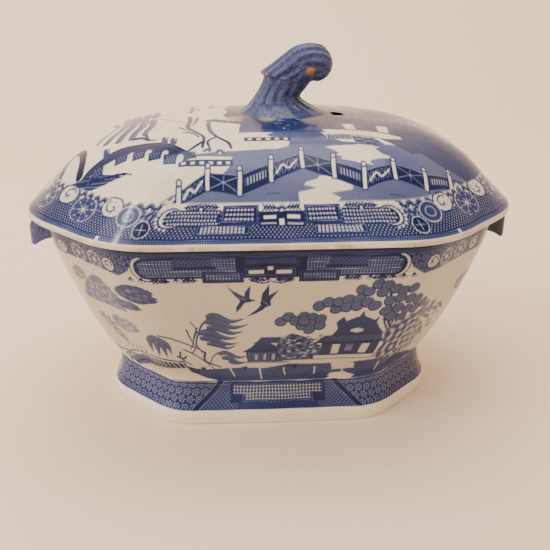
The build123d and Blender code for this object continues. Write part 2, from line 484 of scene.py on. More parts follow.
def half_daisy(page, x, y, r, up=1):
    for k in range(7):
        angle = math.pi * (k + 0.5) / 7
        page.stroke([(x, y), (x + r * math.cos(angle), y + up * r * math.sin(angle))], 1.1, DEEP, tip=0.4)
    page.disc(x, y, 1.1, 0.05)


def circle_row(page, x0, x1, y, pitch, r):
    for k in range(max(1, int((x1 - x0) / pitch))):
        x = x0 + (k + 0.5) * pitch
        page.disc(x, y, r, 0.06)
        page.disc(x, y, r * 0.35, 0.6)


def cartouche(page, x0, y0, x1, y1, rows=2):
    """A dark box with a pale rule inside it and rows of light rings."""
    page.bar(x0, y0, x1, y1, DEEP)
    page.frame(x0 + 0.9, y0 + 0.9, x1 - 0.9, y1 - 0.9, 0.5, 0.35)
    height = (y1 - y0 - 2.6) / rows
    for k in range(rows):
        circle_row(page, x0 + 2.0, x1 - 2.0, y0 + 1.3 + height * (k + 0.5), 2.5, 1.0)


def round_end(page, x, y, r, way):
    """The round end of a long box: a pale crescent with a frill outside it."""
    for k in range(9):
        angle = math.pi / 2 - way * (k + 0.5) * math.pi / 9
        page.disc(x + (r + 2.0) * math.cos(angle), y + 0.8 * (r + 2.0) * math.sin(angle), 1.2, 0.12)
    for shift, radius, ink in ((0.0, r + 0.8, DEEP), (0.0, r, 0.05), (-1.1 * way, r - 1.1, DEEP)):
        page.disc(x + shift, y, radius, ink, 0.8)


def lobes(page, places, r=3.9):
    """A tree crown of round lobes, each with a darker lower edge and light veins."""
    for x, y in places:
        page.disc(x, y, r + 0.5, 0.85)
        page.disc(x, y + 0.4, r - 0.2, 0.60)
        page.hoop(x, y + 0.3, r - 0.9, 0.5, 0.42, 195, 345)


def blade(page, points, width, ink):
    """A leaf along a curve: fat near its root and pointed at its end."""
    points = np.array(points, float)
    steps = np.linspace(0, 1, 22)
    knots = np.arange(len(points))
    line = np.stack([smooth(steps * knots[-1], knots, points[:, i]) for i in (0, 1)], 1)
    ahead = np.gradient(line, axis=0)
    across = ahead[:, ::-1] * [-1, 1] / np.maximum(np.linalg.norm(ahead, axis=1), 1e-6)[:, None]
    half = (width / 2 * np.sin(math.pi * (0.1 + 0.9 * steps) ** 0.75))[:, None]
    page.fill(np.vstack([line + across * half, (line - across * half)[::-1]]), ink)


def rounded(points, times=2):
    """A polygon with its corners cut until it is a soft shape."""
    points = np.array(points, float)
    for _ in range(times):
        after = np.roll(points, -1, axis=0)
        points = np.stack([0.75 * points + 0.25 * after, 0.25 * points + 0.75 * after], 1).reshape(-1, 2)
    return points


def tuft(page, points, ink, seed):
    """A bank of foliage: a soft mass with leaves along its edge and light streaks through it."""
    rng = np.random.default_rng(seed)
    points = rounded(points)
    page.fill(points, ink, mottled(ink + 0.06, ink - 0.12, 7.0, seed))
    middle = points.mean(0)
    for p, q in zip(points, np.roll(points, -1, axis=0)):
        count = max(1, int(np.linalg.norm(q - p) / 2.2))
        for k in range(count):
            start = p + (q - p) * k / count + (middle - p) * 0.12
            way = np.array([1.0, 0.25 * np.sign(start[1] - middle[1])]) * rng.uniform(3.5, 6.0)
            path = [start, start + way * 0.5 + [0, 0.4], start + way]
            blade(page, path, 2.4, ink + rng.uniform(-0.06, 0.08))
    low, high = points.min(0), points.max(0)
    for _ in range(int((high[0] - low[0]) * (high[1] - low[1]) / 45)):
        x, y = rng.uniform(low, high)
        x, y = middle + (np.array([x, y]) - middle) * 0.75
        page.stroke([(x, y), (x + 4, y + rng.uniform(-0.8, 0.8))], 0.5, ink - 0.28)


# ------------------------------ the lid's border ------------------------------
# u runs along the rim from the left end's middle to the right end's middle; v runs up the slope.

BORDER_HEIGHT = 27.0
BORDER_MIDDLE = 247.0
ROUNDEL_FLAT = 0.67


def lid_border():
    page = Canvas(0.0, RIM_HALF_ROUND, 0.0, 45.0)
    page.bar(-2, 1.2, RIM_HALF_ROUND + 2, 24.0, DEEP, dotted())
    page.bar(-2, 1.2, RIM_HALF_ROUND + 2, 4.2, MID, dotted(1.6, 0.42, 0.85, 0.2, 0.8))
    page.stroke([(-2, 4.4), (RIM_HALF_ROUND + 2, 4.4)], 0.5, DEEP)
    page.stroke([(-2, 1.3), (RIM_HALF_ROUND + 2, 1.3)], 0.6, MID)

    # the ground above the diaper is bare, with a scalloped edge at the corners
    for side in (-1, 1):
        inner, outer = BORDER_MIDDLE + side * 84, BORDER_MIDDLE + side * 250
        page.bar(min(inner, outer), 16, max(inner, outer), 24.5, 0.78, mottled(0.82, 0.35, 4.0, 3))
        for k in range(24):
            u = inner + side * k * 8.0
            page.disc(u, 24.0, 3.2, 0.3)
            half_daisy(page, u, 23.0, 4.2)
    page.bar(BORDER_MIDDLE - 84, 21.8, BORDER_MIDDLE + 84, 26, 0.0)

    # corner and end roundels, the same at both ends
    for side in (-1, 1):
        def at(distance):
            return BORDER_MIDDLE + side * distance
        for motif, distance, v, radius, *turn in (
            (white_curl, 172, 22.0, 9.5, 0.5 if side < 0 else 2.4), (blue_flower, 147, 16.0, 12.0),
            (white_curl, 121, 22.0, 9.0, 2.2 if side < 0 else 0.9), (blue_flower, 197, 15.0, 11.0),
            (white_curl, 218, 21.0, 9.0, 1.2), (blue_flower, 237, 15.5, 10.0),
        ):
            motif(Flattened(page, v, ROUNDEL_FLAT), at(distance), v, radius, *turn)
        flat = Flattened(page, 18.0, 0.8)
        flat.disc(at(105), 18.0, 8.0, MID)
        flat.hoop(at(105), 18.0, 8.4, 1.0, 0.15)
        flat.hoop(at(105), 18.0, 4.0, 0.8, 0.2)
        cross_disc(page, at(92), 10.5, 5.0)
        page.bar(at(119) - 1.3, 0.8, at(119) + 1.3, 3.6, 0.0)

    # rows of rings with round ends, framed boxes and the stepped middle
    for side in (-1, 1):
        far, near = BORDER_MIDDLE + side * 74, BORDER_MIDDLE + side * 42
        page.bar(min(far, near), 12.4, max(far, near), 23.0, DEEP)
        round_end(page, BORDER_MIDDLE + side * 75, 17.6, 7.6, side)
        for k in range(4):
            inner = 80.5 if k in (1, 2) else 77
            x0, x1 = span(BORDER_MIDDLE, side, inner, 42)
            circle_row(page, x0, x1, 14.0 + 2.4 * k, 2.3, 0.86)
        x0, x1 = span(BORDER_MIDDLE, side, 16, 41)
        cartouche(page, x0, 14.0, x1, 25.5, rows=3)
        x0, x1 = span(BORDER_MIDDLE, side, 21, 56)
        cartouche(page, x0, 6.6, x1, 13.2, rows=2)
        leaf_spray(page, BORDER_MIDDLE + side * 44, 24.5, 9.0, side)
        leaf_spray(page, BORDER_MIDDLE + side * 68, 24.5, 9.0, -side)
        half_daisy(page, BORDER_MIDDLE + side * 56, 23.2, 4.0)
    page.bar(BORDER_MIDDLE - 15.5, 12.0, BORDER_MIDDLE + 15.5, 21.5, DEEP)
    page.bar(BORDER_MIDDLE - 12.5, 16.6, BORDER_MIDDLE - 3.6, 19.4, 0.0)
    page.bar(BORDER_MIDDLE + 3.6, 16.6, BORDER_MIDDLE + 12.5, 19.4, 0.0)
    page.bar(BORDER_MIDDLE - 1.9, 12.6, BORDER_MIDDLE + 1.9, 17.0, 0.0)
    page.bar(BORDER_MIDDLE - 14.5, 13.0, BORDER_MIDDLE - 3.6, 14.6, PALE)
    page.bar(BORDER_MIDDLE + 3.6, 13.0, BORDER_MIDDLE + 14.5, 14.6, PALE)
    leaf_spray(page, BORDER_MIDDLE - 3, 24.0, 9.0, -1)
    leaf_spray(page, BORDER_MIDDLE + 3, 24.0, 9.0, 1)
    half_daisy(page, BORDER_MIDDLE, 22.4, 3.6)
    return page


# ------------------------------ the lid's scene, seen from above ------------------------------
# The front half is drawn. The back half is its mirror image.

FENCE = [(-62, -96, -103), (-44, -87, -98), (-24, -89, -100), (-4, -82, -95), (16, -75.5, -88),
         (36, -81, -93.5), (55, -87, -98), (75, -81, -93), (96, -80, -92), (116, -68, -79)]


def fence(page):
    posts = [(-75, -102.5, -103)] + FENCE + [(132, -60, -68)]
    for k, (left, right) in enumerate(zip(posts, posts[1:])):
        top_l, top_r = left[1] - 2.5, right[1] - 2.5
        low_l, low_r = left[2], right[2]
        if k == 0:
            top_l = left[1]
        panel = [(left[0], top_l), (right[0], top_r), (right[0], low_r), (left[0], low_l)]
        page.fill(panel, DEEP)
        run = right[0] - left[0]

        def inside(s, t):
            top, low = top_l + (top_r - top_l) * s, low_l + (low_r - low_l) * s
            return (left[0] + run * s, low + (top - low) * t)

        style = k % 3 if k else 3
        if style == 2:
            for low_s, high_s in ((0.08, 0.92), (0.92, 0.08), (0.5, 0.5)):
                page.stroke([inside(low_s, 0.12), inside(high_s, 0.85)], 0.55, PALE)
        elif style == 0:
            inner = [inside(0.15, 0.3), inside(0.85, 0.3), inside(0.85, 0.72), inside(0.15, 0.72)]
            page.fill(inner, PALE)
            for n in range(7):
                page.stroke([inside(0.19 + 0.1 * n, 0.3), inside(0.19 + 0.1 * n, 0.72)], 0.8, DEEP)
        elif style == 1:
            for n in range(5):
                page.stroke([inside(0.1 + 0.16 * n, 0.15), inside(0.22 + 0.16 * n, 0.82)], 0.45, PALE)
                page.stroke([inside(0.22 + 0.16 * n, 0.15), inside(0.1 + 0.16 * n, 0.82)], 0.45, PALE)
            scroll = [inside(0.18, 0.3), inside(0.35, 0.66), inside(0.55, 0.34), inside(0.82, 0.64)]
            page.curve(scroll, 1.3, 0.08)
        else:
            for n in range(3):
                page.stroke([inside(0.08, 0.25 + 0.25 * n), inside(0.92, 0.25 + 0.25 * n)], 0.45, PALE)
            page.curve([inside(0.2, 0.3), inside(0.4, 0.7), inside(0.6, 0.3), inside(0.8, 0.7)], 1.2, 0.1)
        page.stroke([inside(0.0, 0.97), inside(1.0, 0.97)], 0.5, 0.3)
    for x, top, low in FENCE:
        page.bar(x - 1.9, low - 0.4, x + 1.9, top, DEEP)
        page.bar(x - 1.3, low, x + 1.3, top, 0.02)
        page.disc(x, top + 1.3, 1.9, DEEP)
        page.disc(x, top + 1.3, 1.3, 0.05)


def jagged(points, tooth, seed):
    """A shoreline: straight runs broken into irregular long teeth."""
    rng = np.random.default_rng(seed)
    shore = []
    for p, q in zip(points, points[1:] + points[:1]):
        steps = max(2, int(abs(q[1] - p[1]) / 1.4))
        for k in range(steps):
            s = k / steps
            push = tooth * (rng.random() - 0.5) * (2 if k % 2 else -1)
            shore.append((p[0] + (q[0] - p[0]) * s + push, p[1] + (q[1] - p[1]) * s))
    return shore


def lid_ground(page):
    page.fill([(-62, -79), (-40, -76.5), (-20, -75), (0, -74.5), (8, -72), (9, -68), (-2, -62), (-6, -58),
               (0, -54), (30, -53), (34, -62), (44, -68), (64, -69), (80, -64), (98, -60), (120, -58),
               (140, -48), (150, -50), (140, -68), (124, -84), (108, -93), (96, -104), (-20, -104.5),
               (-74, -104), (-60, -98), (-34, -90), (-30, -86), (-28, -80)], 0.47)
    page.fill([(-6, -58), (0, -54), (30, -53), (34, -62), (20, -66), (4, -62)], 0.54)
    for seed, shore in enumerate((
        [(36, -72), (50, -70), (66, -71), (70, -78), (60, -86), (46, -84), (36, -79)],
        [(24, -92), (40, -92), (44, -98), (30, -104.5), (8, -104.5), (14, -99)],
    ), 1):
        page.fill(jagged(shore, 9.0, seed), 0.0)
    page.bar(-62, -86, -28, -82, DEEP)
    for k in range(6):
        page.bar(-60.5 + 5.6 * k, -85, -57.5 + 5.6 * k, -83, 0.02)
    page.bar(-20, -66.5, 10, -62, DEEP)
    for k in range(5):
        page.bar(-18 + 5.8 * k, -65.5, -15 + 5.8 * k, -63, 0.02)
    for x, y in ((-50, -79), (-12, -76), (52, -69), (84, -76), (104, -72), (-8, -100), (70, -100)):
        page.stroke([(x, y), (x + 9, y + 0.4)], 0.4, MID)


def bridge(page):
    deck = [(-128, -60), (-120, -56), (-104, -51.5), (-90, -54), (-72, -62), (-60, -73), (-52, -80)]
    under = [(-60, -82.5), (-64, -79), (-70, -77), (-82, -68), (-94, -62), (-104, -60), (-116, -61),
             (-126, -62)]
    page.fill(deck + under, MID, crossed(1.9, 0.95, 0.62))
    page.curve(deck, 1.5, DEEP)
    page.curve([(x, y - 5.0) for x, y in deck[:-1]], 0.8, DEEP)
    for x, y in ((-117, -61), (-101, -61), (-89, -65), (-78, -71), (-68, -77)):
        page.fill([(x - 4.0, y + 2.5), (x + 4.2, y + 1.0), (x + 4.2, y - 6.5), (x - 3.6, y - 5.5)], DEEP)
        page.fill([(x - 3.2, y + 2), (x + 3.4, y + 0.6), (x + 3.4, y - 5.8), (x - 2.8, y - 4.8)], 0.85,
                  hatched(1.6, 20, 0.9, 0.35))
        page.disc(x + 6.6, y - 2.8, 2.2, 0.05, 1.5)
    for x, y, height in ((-113, -46, 7.5), (-73, -55, 7), (-67, -59, 6)):
        page.stroke([(x, y), (x + 0.8, y - height)], 2.6, MID, tip=1.6)
        page.disc(x, y + 1.2, 1.2, DEEP)
        page.stroke([(x + 2.4, y + 1.5), (x + 2.8, y - height)], 0.6, DEEP)


def corner_temple(page):
    """The dark gate and the sweeping leaves at the scene's left."""
    page.curve([(-151, -52), (-147, -38), (-141, -26), (-135, -25), (-130, -36), (-130, -56)], 5.0, DEEP)
    page.fill([(-141, -52), (-141, -36), (-136, -32), (-133, -40), (-133, -54)], 0.03)
    page.curve([(-156, -44), (-150, -34), (-144, -22)], 1.4, DEEP)
    for y in (-30, -35, -40, -45):
        page.stroke([(-154, y - 4), (-143, y + 2)], 1.0, MID)
    bank = [(-146, -54), (-132, -58), (-116, -65), (-98, -80), (-110, -77), (-124, -71), (-138, -62)]
    page.fill(bank, 0.75, hatched(1.8, 55, 0.9, 0.4))
    for k in range(9):
        x, y = -140 + 4.6 * k, -58 - 2.3 * k
        page.curve([(x, y), (x + 5, y - 1.2), (x + 11, y - 5.5)], 1.7, DEEP, tip=0.3)


def lid_trees(page):
    for path, width in (
        ([(-103, 2), (-105, -16), (-114, -36)], 8.0), ([(-97, 4), (-98, -18), (-105, -40)], 8.5),
        ([(-91, 2), (-90, -20), (-96, -42)], 8.0), ([(-84, -4), (-83, -22), (-87, -41)], 6.5),
        ([(-110, -2), (-114, -14), (-121, -30)], 5.0),
    ):
        page.curve(path, width * 0.8, 0.62, tip=0.75)
        page.curve([(x + 0.8, y) for x, y in path], 0.5, 0.25)
    page.curve([(-80, -2), (-72, -14), (-62, -22), (-56, -24)], 1.2, 0.6)
    for path, width in (
        ([(-58, -8), (-57, -22), (-58, -38), (-52, -50), (-47, -60), (-47, -72)], 1.6),
        ([(-52, -14), (-54, -30), (-58, -36)], 1.0), ([(-60, -48), (-54, -52), (-50, -60)], 1.1),
        ([(-44, -30), (-43, -48), (-38, -60), (-31, -68), (-29, -73)], 1.5),
        ([(-38, -60), (-44, -66), (-42, -74)], 1.0), ([(-47, -66), (-53, -72), (-60, -77)], 1.1),
        ([(-64, -36), (-60, -42), (-53, -48)], 0.9), ([(-86, -42), (-84, -50), (-79, -54)], 1.2),
        ([(-94, -44), (-88, -46), (-83, -52)], 1.8),
    ):
        page.curve(path, width * 1.8, 0.88, tip=0.6)
    for k in range(5):
        x, y = -46 + 5.0 * k, -30 - 2.4 * k
        blade(page, [(x, y + 6), (x + 8, y + 3), (x + 18, y - 5)], 6.4, 0.74)
        page.curve([(x + 1, y + 5.5), (x + 8, y + 3), (x + 14, y - 3)], 0.4, 0.15)
    for x, y in ((-44, -76), (-36, -77), (-54, -78)):
        half_daisy(page, x, y, 3.0)


def lid_pavilion(page):
    page.fill([(-22, -38), (-16, -26), (16, -26), (30, -40), (34, -54), (-24, -54)], WASH,
              hatched(2.4, 90, 0.72, 0.58))
    page.bar(-24, -57, -8, -54, 0.05)
    page.fill([(20, -30), (30, 2), (164, 2), (158, -36), (122, -44), (96, -49), (30, -49)], 0.62,
              mottled(0.80, 0.52, 3.2, 12))
    page.fill([(22, -30), (34, -18), (100, -18), (116, -28), (122, -44), (96, -49), (30, -49)], 0.62,
              hatched(2.2, 8, 0.80, 0.62))
    for x in (52, 75):
        page.bar(x - 4.6, -49, x + 4.6, -33, 0.6)
        page.bar(x - 3.6, -47, x + 3.6, -34.5, 0.0)
    page.bar(36, -58, 66, -50, 0.02)
    page.bar(66, -56, 84, -49.5, 0.02)
    page.stroke([(34, -58.6), (84, -58.6)], 1.0, MID)
    page.bar(34, -65, 50, -59, MID, hatched(1.6, 0, 0.8, 0.2))
    page.fill([(50, -60), (66, -60), (72, -66), (66, -71), (52, -68)], 0.6, mottled(0.72, 0.4, 5.0, 5))
    # steps and roofs to the right
    page.fill([(84, -46), (104, -38), (146, -34), (152, -46), (138, -60), (112, -66), (92, -62)], WASH,
              hatched(2.8, 68, 0.88, 0.46))
    page.fill([(70, -60), (92, -50), (104, -58), (90, -68)], WASH, hatched(2.8, 60, 0.84, 0.5))
    page.curve([(84, -46), (104, -38), (146, -34)], 1.0, DEEP)
    page.curve([(100, -18), (122, -26), (146, -30)], 2.0, 0.6)
    for k in range(16):
        x, y = 34 + 6.5 * k, -17 + (k % 3)
        page.disc(x, y, 2.8, 0.62)
        page.disc(x + 1, y + 1, 1.0, 0.1)


def knob_shadow(page):
    """Dark marbled blue around the foot of the knob."""
    rng = np.random.default_rng(17)
    page.fill([(-34, -12), (-30, -26), (-12, -36), (-13, -47), (6, -51), (22, -47), (26, -36), (42, -26),
               (48, -12), (40, 2), (-30, 2)], 0.82)
    for _ in range(260):
        x, y = rng.uniform(-28, 40), rng.uniform(-49, 0)
        path = [(x, y), (x + rng.uniform(-4, 6), y + rng.uniform(-2, 2))]
        inside = abs((x - 6) / 34) + abs(y / 52) < 1.05
        if inside:
            page.stroke(path, rng.uniform(0.6, 2.2), rng.choice([0.95, 0.92, 0.88, 0.6, 0.35]), tip=0.4)


def lid_scene():
    page = Canvas(-RIM_LENGTH, RIM_LENGTH, -RIM_WIDTH - SIDE_BOW, 2.0)
    lid_ground(page)
    lid_pavilion(page)
    knob_shadow(page)
    lid_trees(page)
    corner_temple(page)
    bridge(page)
    fence(page)
    return page


# ------------------------------ the bowl: u round the side, z up ------------------------------

BOWL_MIDDLE = 206.0


def bowl_border(page):
    lace = curled(6.5, 0.88, 0.3)
    net = lattice(1.9, 0.55, 0.9, 0.25)
    for ground in (
        [(-2, 134), (60, 134), (112, 131.5), (119, 136), (124, 144), (132, 150), (-2, 150)],
        [(423, 132), (350, 132), (302, 130), (293, 136), (288, 144), (280, 150), (423, 150)],
    ):
        page.fill(ground, DEEP, lace)
    for side in (-1, 1):
        for distance, z, motif in ((101, 138, white_curl), (114, 138, blue_flower), (130, 139, blue_flower),
                                   (147, 139, white_curl), (165, 139, blue_flower), (183, 139, white_curl),
                                   (200, 139, blue_flower)):
            motif(page, BOWL_MIDDLE + side * distance, z, 4.8 if motif is white_curl else 5.6)
        # the long box of dots with a round, pale-edged end
        end = BOWL_MIDDLE + side * 75
        page.disc(end, 138.6, 9.6, DEEP)
        page.disc(end, 138.6, 9.0, 0.05)
        page.disc(end + side * -0.8, 138.6, 7.8, DEEP)
        x0, x1 = span(BOWL_MIDDLE, side, 76, 16)
        page.bar(x0, 131.2, x1, 147.0, DEEP)
        page.disc(end - side * 1.0, 138.6, 7.0, DEEP)
        page.fill([(end + side * 4, 134.5), (end + side * 4, 142.5), (end, 145), (end - side * 40, 145),
                   (end - side * 40, 132.4), (end, 132.4)], DEEP, net)
        for near, far, low, high, texture in (
            (33, 58, 139.8, 146.0, crossed(2.0, 0.92, 0.5)), (21, 35, 131.5, 146.2, net),
            (58, 33, 138.4, 139.8, None),
        ):
            x0, x1 = span(BOWL_MIDDLE, side, near, far)
            page.bar(x0, low, x1, high, DEEP, texture)
        x0, x1 = span(BOWL_MIDDLE, side, 17, 42)
        page.bar(x0, 127.6, x1, 136.0, 0.92)
        page.bar(x0 + 2.2, 129.6, x1 - 2.2, 134.8, DEEP, net)
        page.frame(x0 + 0.8, 128.4, x1 - 0.8, 135.6, 0.4, 0.55)
    page.bar(BOWL_MIDDLE - 16, 131, BOWL_MIDDLE + 16, 147, 0.93)
    page.bar(BOWL_MIDDLE - 15, 141.5, BOWL_MIDDLE + 15, 146, 0.88, dotted(2.2, 0.5, 0.92, 0.4))
    for x0, x1, low, high in (
        (-13.5, -4.2, 134.2, 137.2), (2.8, 12.2, 134.2, 137.2), (-2.4, 1.0, 136.6, 139.6),
    ):
        page.bar(BOWL_MIDDLE + x0, low, BOWL_MIDDLE + x1, high, 0.0)
    page.frame(BOWL_MIDDLE - 15, 133.0, BOWL_MIDDLE + 14, 138.4, 0.45, 0.45)
    for k in range(26):
        u = BOWL_MIDDLE - 86 + 7.0 * k
        if 14 < abs(u - BOWL_MIDDLE) < 45:
            continue
        for way in (-1, 0, 1):
            page.stroke([(u, 131.4), (u + 2.2 * way, 127.6 + abs(way))], 0.9, DEEP, tip=0.4)
    for side in (-1, 1):
        swag = [(BOWL_MIDDLE + side, 128), (BOWL_MIDDLE + side * 7, 127), (BOWL_MIDDLE + side * 14, 130)]
        page.curve(swag, 0.7, DEEP)
        for distance in (3, 45, 62):
            leaf_spray(page, BOWL_MIDDLE + side * distance, 129.4, 9.0, side)
    # the band under the lid: a dotted dark rule, partly print and partly painted shade, and above it a solid
    # darkest band of painted shadow under the lid's edge
    page.bar(-2, 147.0, BOWL_HALF_ROUND + 2, 150.0, 0.8, dotted(2.0, 0.4, 0.86, 0.5))
    page.bar(-2, 150.0, BOWL_HALF_ROUND + 2, 156.0, 1.0)


def swallows(page):
    for shape in (
        [(178, 125.5), (182, 121), (187, 117.5), (190, 115), (188, 112.5), (184, 115)],
        [(193, 125.5), (189.6, 120), (188.4, 114), (192, 112.6), (192.4, 118)],
        [(183.5, 116), (188, 117), (192, 114.6), (196.5, 113), (190, 111.4), (185.5, 113)],
        [(186, 113.5), (190, 113), (187, 109), (182.6, 102.5), (183, 108)],
        [(204.5, 126), (200.4, 119), (199.6, 112.5), (203.4, 110.6), (204.6, 117)],
        [(210.6, 121), (205.6, 117.8), (201.8, 112.5), (204.6, 109.4), (206.6, 114.5)],
        [(198.6, 111), (201.6, 115), (205.6, 112.4), (206, 108.6), (200, 106)],
        [(204.4, 110.4), (200.4, 105), (195, 101.4), (189.6, 99), (196, 105), (199.6, 109.4)],
    ):
        page.fill(shape, 0.86)
    for path in ([(184, 115.6), (189, 114)], [(201, 112), (204, 109)], [(187, 109), (185, 105)]):
        page.stroke(path, 0.7, 0.3)


def willow(page):
    for path, width in (
        ([(122, 82), (131, 80), (139, 76), (147, 71), (153, 66)], 1.5),
        ([(138, 69), (145, 63), (151, 56), (156, 47)], 1.3),
        ([(153, 66), (151, 58), (156, 53), (162, 50)], 1.9),
        ([(163, 98), (157, 92), (153, 85), (149, 74), (151, 66)], 1.5),
        ([(145, 88), (146, 80), (148, 72)], 1.2),
        ([(153, 90), (150, 84), (146, 74), (143, 70)], 1.1), ([(164, 66), (158, 61), (155, 55)], 1.2),
        ([(147, 71), (143, 66), (136, 70)], 1.0), ([(150, 95), (152, 88), (149, 80)], 1.0),
        ([(134, 67), (132, 60), (137, 53)], 1.6), ([(130, 62), (134, 60), (137, 62)], 2.2),
    ):
        page.curve(path, width, 0.74, tip=0.7)
    leaves = (
        ([(161, 99), (168, 100), (177, 95), (188, 97)], 6.2),
        ([(160, 95), (168, 94.5), (178, 89.5), (190, 92)], 6.4),
        ([(160, 90), (168, 88.5), (177, 84.5), (187, 86)], 5.6),
        ([(152, 85), (161, 85), (171, 80), (182, 80)], 6.4),
        ([(153, 80), (161, 79), (170, 74.5), (181, 74)], 6.2),
        ([(157, 74.5), (165, 73), (172, 70), (179, 72)], 4.2),
        ([(163, 64), (170, 65), (178, 60.5), (187, 61)], 4.8),
        ([(165, 60), (171, 59), (178, 55), (187, 55)], 5.0),
        ([(170, 56), (175, 54), (182, 53)], 3.2),
        ([(119, 81), (112, 75), (108, 62)], 6.2), ([(120, 81), (117, 72), (113, 60)], 6.0),
        ([(121, 80), (122, 72), (120, 60)], 6.0), ([(121, 79), (126, 73), (126, 63)], 5.0),
    )
    for path, width in leaves:
        blade(page, path, width, 0.64)
        page.curve([(x, y + 0.8) for x, y in path], 0.45, 0.4)


def left_foliage(page):
    for seed, (ink, points) in enumerate((
        (0.42, [(58, 121), (64, 126), (70, 121), (68, 117), (60, 114)]),
        (0.50, [(66, 112), (76, 120), (82, 124), (88, 121), (96, 114), (104, 106), (98, 104), (104, 100),
                (92, 98), (74, 99), (58, 98), (60, 104)]),
        (0.66, [(100, 117), (106, 122), (113, 124), (125, 123), (128, 118), (130, 115), (128, 112),
                (116, 110), (104, 113)]),
        (0.62, [(94, 107), (104, 109), (116, 107), (114, 104), (100, 103.5)]),
        (0.42, [(76, 84), (80, 90), (88, 88), (98, 90), (105, 84), (100, 80), (88, 76), (78, 78)]),
        (0.40, [(60, 88), (68, 85), (74, 76), (80, 66), (72, 62), (62, 78)]),
        (0.45, [(356, 108), (368, 116), (384, 112), (392, 100), (372, 96), (358, 98)]),
    )):
        tuft(page, points, ink, 20 + seed)


def left_bridge(page):
    page.fill([(52, 40), (70, 48), (92, 56), (133, 55), (133, 50), (112, 47), (90, 45), (60, 34)], 0.8,
              hatched(4.2, 18, 0.88, 0.2, 0.35))
    page.curve([(50, 42), (66, 50), (84, 56.5), (104, 58), (132, 56.5)], 1.3, DEEP)
    page.curve([(58, 36), (78, 45), (96, 49), (120, 50)], 0.9, DEEP)
    for u in (74, 80, 86, 92, 98):
        page.stroke([(u, 59), (u + 2, 63), (u - 1, 66)], 1.8, 0.6, tip=0.4)
    for u in (20, 34, 48):
        page.curve([(u, 34), (u + 12, 46), (u + 30, 50)], 2.2, 0.6)


def water(page):
    page.fill([(132, 52), (138, 49), (150, 47.5), (176, 49), (200, 48), (222, 52), (262, 51), (300, 54),
               (330, 50), (360, 42), (423, 38), (423, 30), (150, 30), (154, 35), (144, 38), (136, 44)], 0.64)
    page.fill([(132, 52), (142, 48), (140, 42), (134, 45)], 0.78)
    page.bar(108, 30, 423, 34, 0.58)
    page.bar(-2, 30, 40, 38, 0.66)
    for k in range(26):
        u, z = 146 + 8.1 * k, 37 + 2.9 * (k % 5)
        page.stroke([(u, z), (u + 7, z + 0.2)], 0.4, 0.8)
    page.fill(jagged([(261, 51), (281, 52), (283, 45), (262, 44)], 2.5, 4), 0.02)
    page.fill(jagged([(262, 40), (276, 41), (288, 37), (287, 31), (262, 31)], 2.5, 5), 0.02)
    for u, top, low in (
        (171, 47, 39), (197, 46, 36), (219, 46, 40), (247, 46, 40), (274, 45, 36), (306, 48, 40),
    ):
        page.stroke([(u - 1, top), (u + 0.6, low)], 1.3, 0.03)
        page.disc(u - 1, top + 0.8, 1.0, 0.03)
    for u in (183, 146, 228, 322):
        for way in (-3, -1.5, 0, 1.5, 3):
            page.stroke([(u, 47), (u + way, 51.5 - abs(way) * 0.4)], 0.9, DEEP, tip=0.3)


def small_temple(page):
    page.bar(186, 55, 216, 66, 0.6, hatched(2.6, 0, 0.74, 0.5))
    page.fill([(184, 66), (190, 65), (212, 65), (217, 68), (211, 71), (206, 74), (194, 74), (190, 70)], 0.78)
    page.fill([(192, 74), (196, 76), (199, 80), (214, 80), (216, 77), (212, 74)], 0.72)
    for u in (193, 200, 207):
        page.bar(u, 57, u + 2.2, 63, 0.25)
    page.stroke([(184, 66), (217, 67)], 0.7, DEEP)
    page.bar(184, 53.4, 222, 55.2, 0.4)
    page.fill([(212, 56), (246, 56), (248, 66), (240, 74), (232, 79), (222, 83), (214, 80), (210, 70)], 0.6,
              mottled(0.74, 0.5, 7.5, 9))
    rng = np.random.default_rng(5)
    for _ in range(60):
        u, z = rng.uniform(213, 244), rng.uniform(57, 80)
        blade(page, [(u, z), (u + 2, z + 0.6), (u + 4, z)], 1.6, rng.choice([0.2, 0.45, 0.85]))


def pagoda(page):
    page.fill([(252, 80), (255, 86), (253, 92), (257, 97), (260, 93), (265, 96), (268, 97), (270, 102),
               (272, 97), (276, 95), (280, 93), (283, 97), (282, 91), (286, 86), (292, 80)], 0.68,
              hatched(2.0, 90, 0.84, 0.62))
    page.disc(270, 84, 5.0, 0.08, 0.4)
    page.fill([(240, 73), (247, 80), (292, 80), (299, 73)], 0.8, hatched(1.9, 0, 0.88, 0.45))
    page.bar(246, 60, 292, 73, 0.76)
    for u in (255, 278):
        page.bar(u, 62, u + 6.5, 71, 0.03)
    page.bar(266, 64, 272, 71, 0.42, hatched(1.6, 90, 0.6, 0.3))
    page.stroke([(240, 73), (299, 73)], 0.9, DEEP)
    page.stroke([(252, 80), (292, 80)], 0.7, DEEP)
    page.bar(242, 56.6, 298, 60, 0.02)
    page.stroke([(242, 56.4), (300, 56.4)], 0.7, MID)
    bush = [(292, 56), (296, 70), (290, 80), (298, 92), (312, 96), (326, 84), (338, 70), (346, 52), (320, 50)]
    page.fill(bush, 0.6, mottled(0.74, 0.2, 8.0, 2))


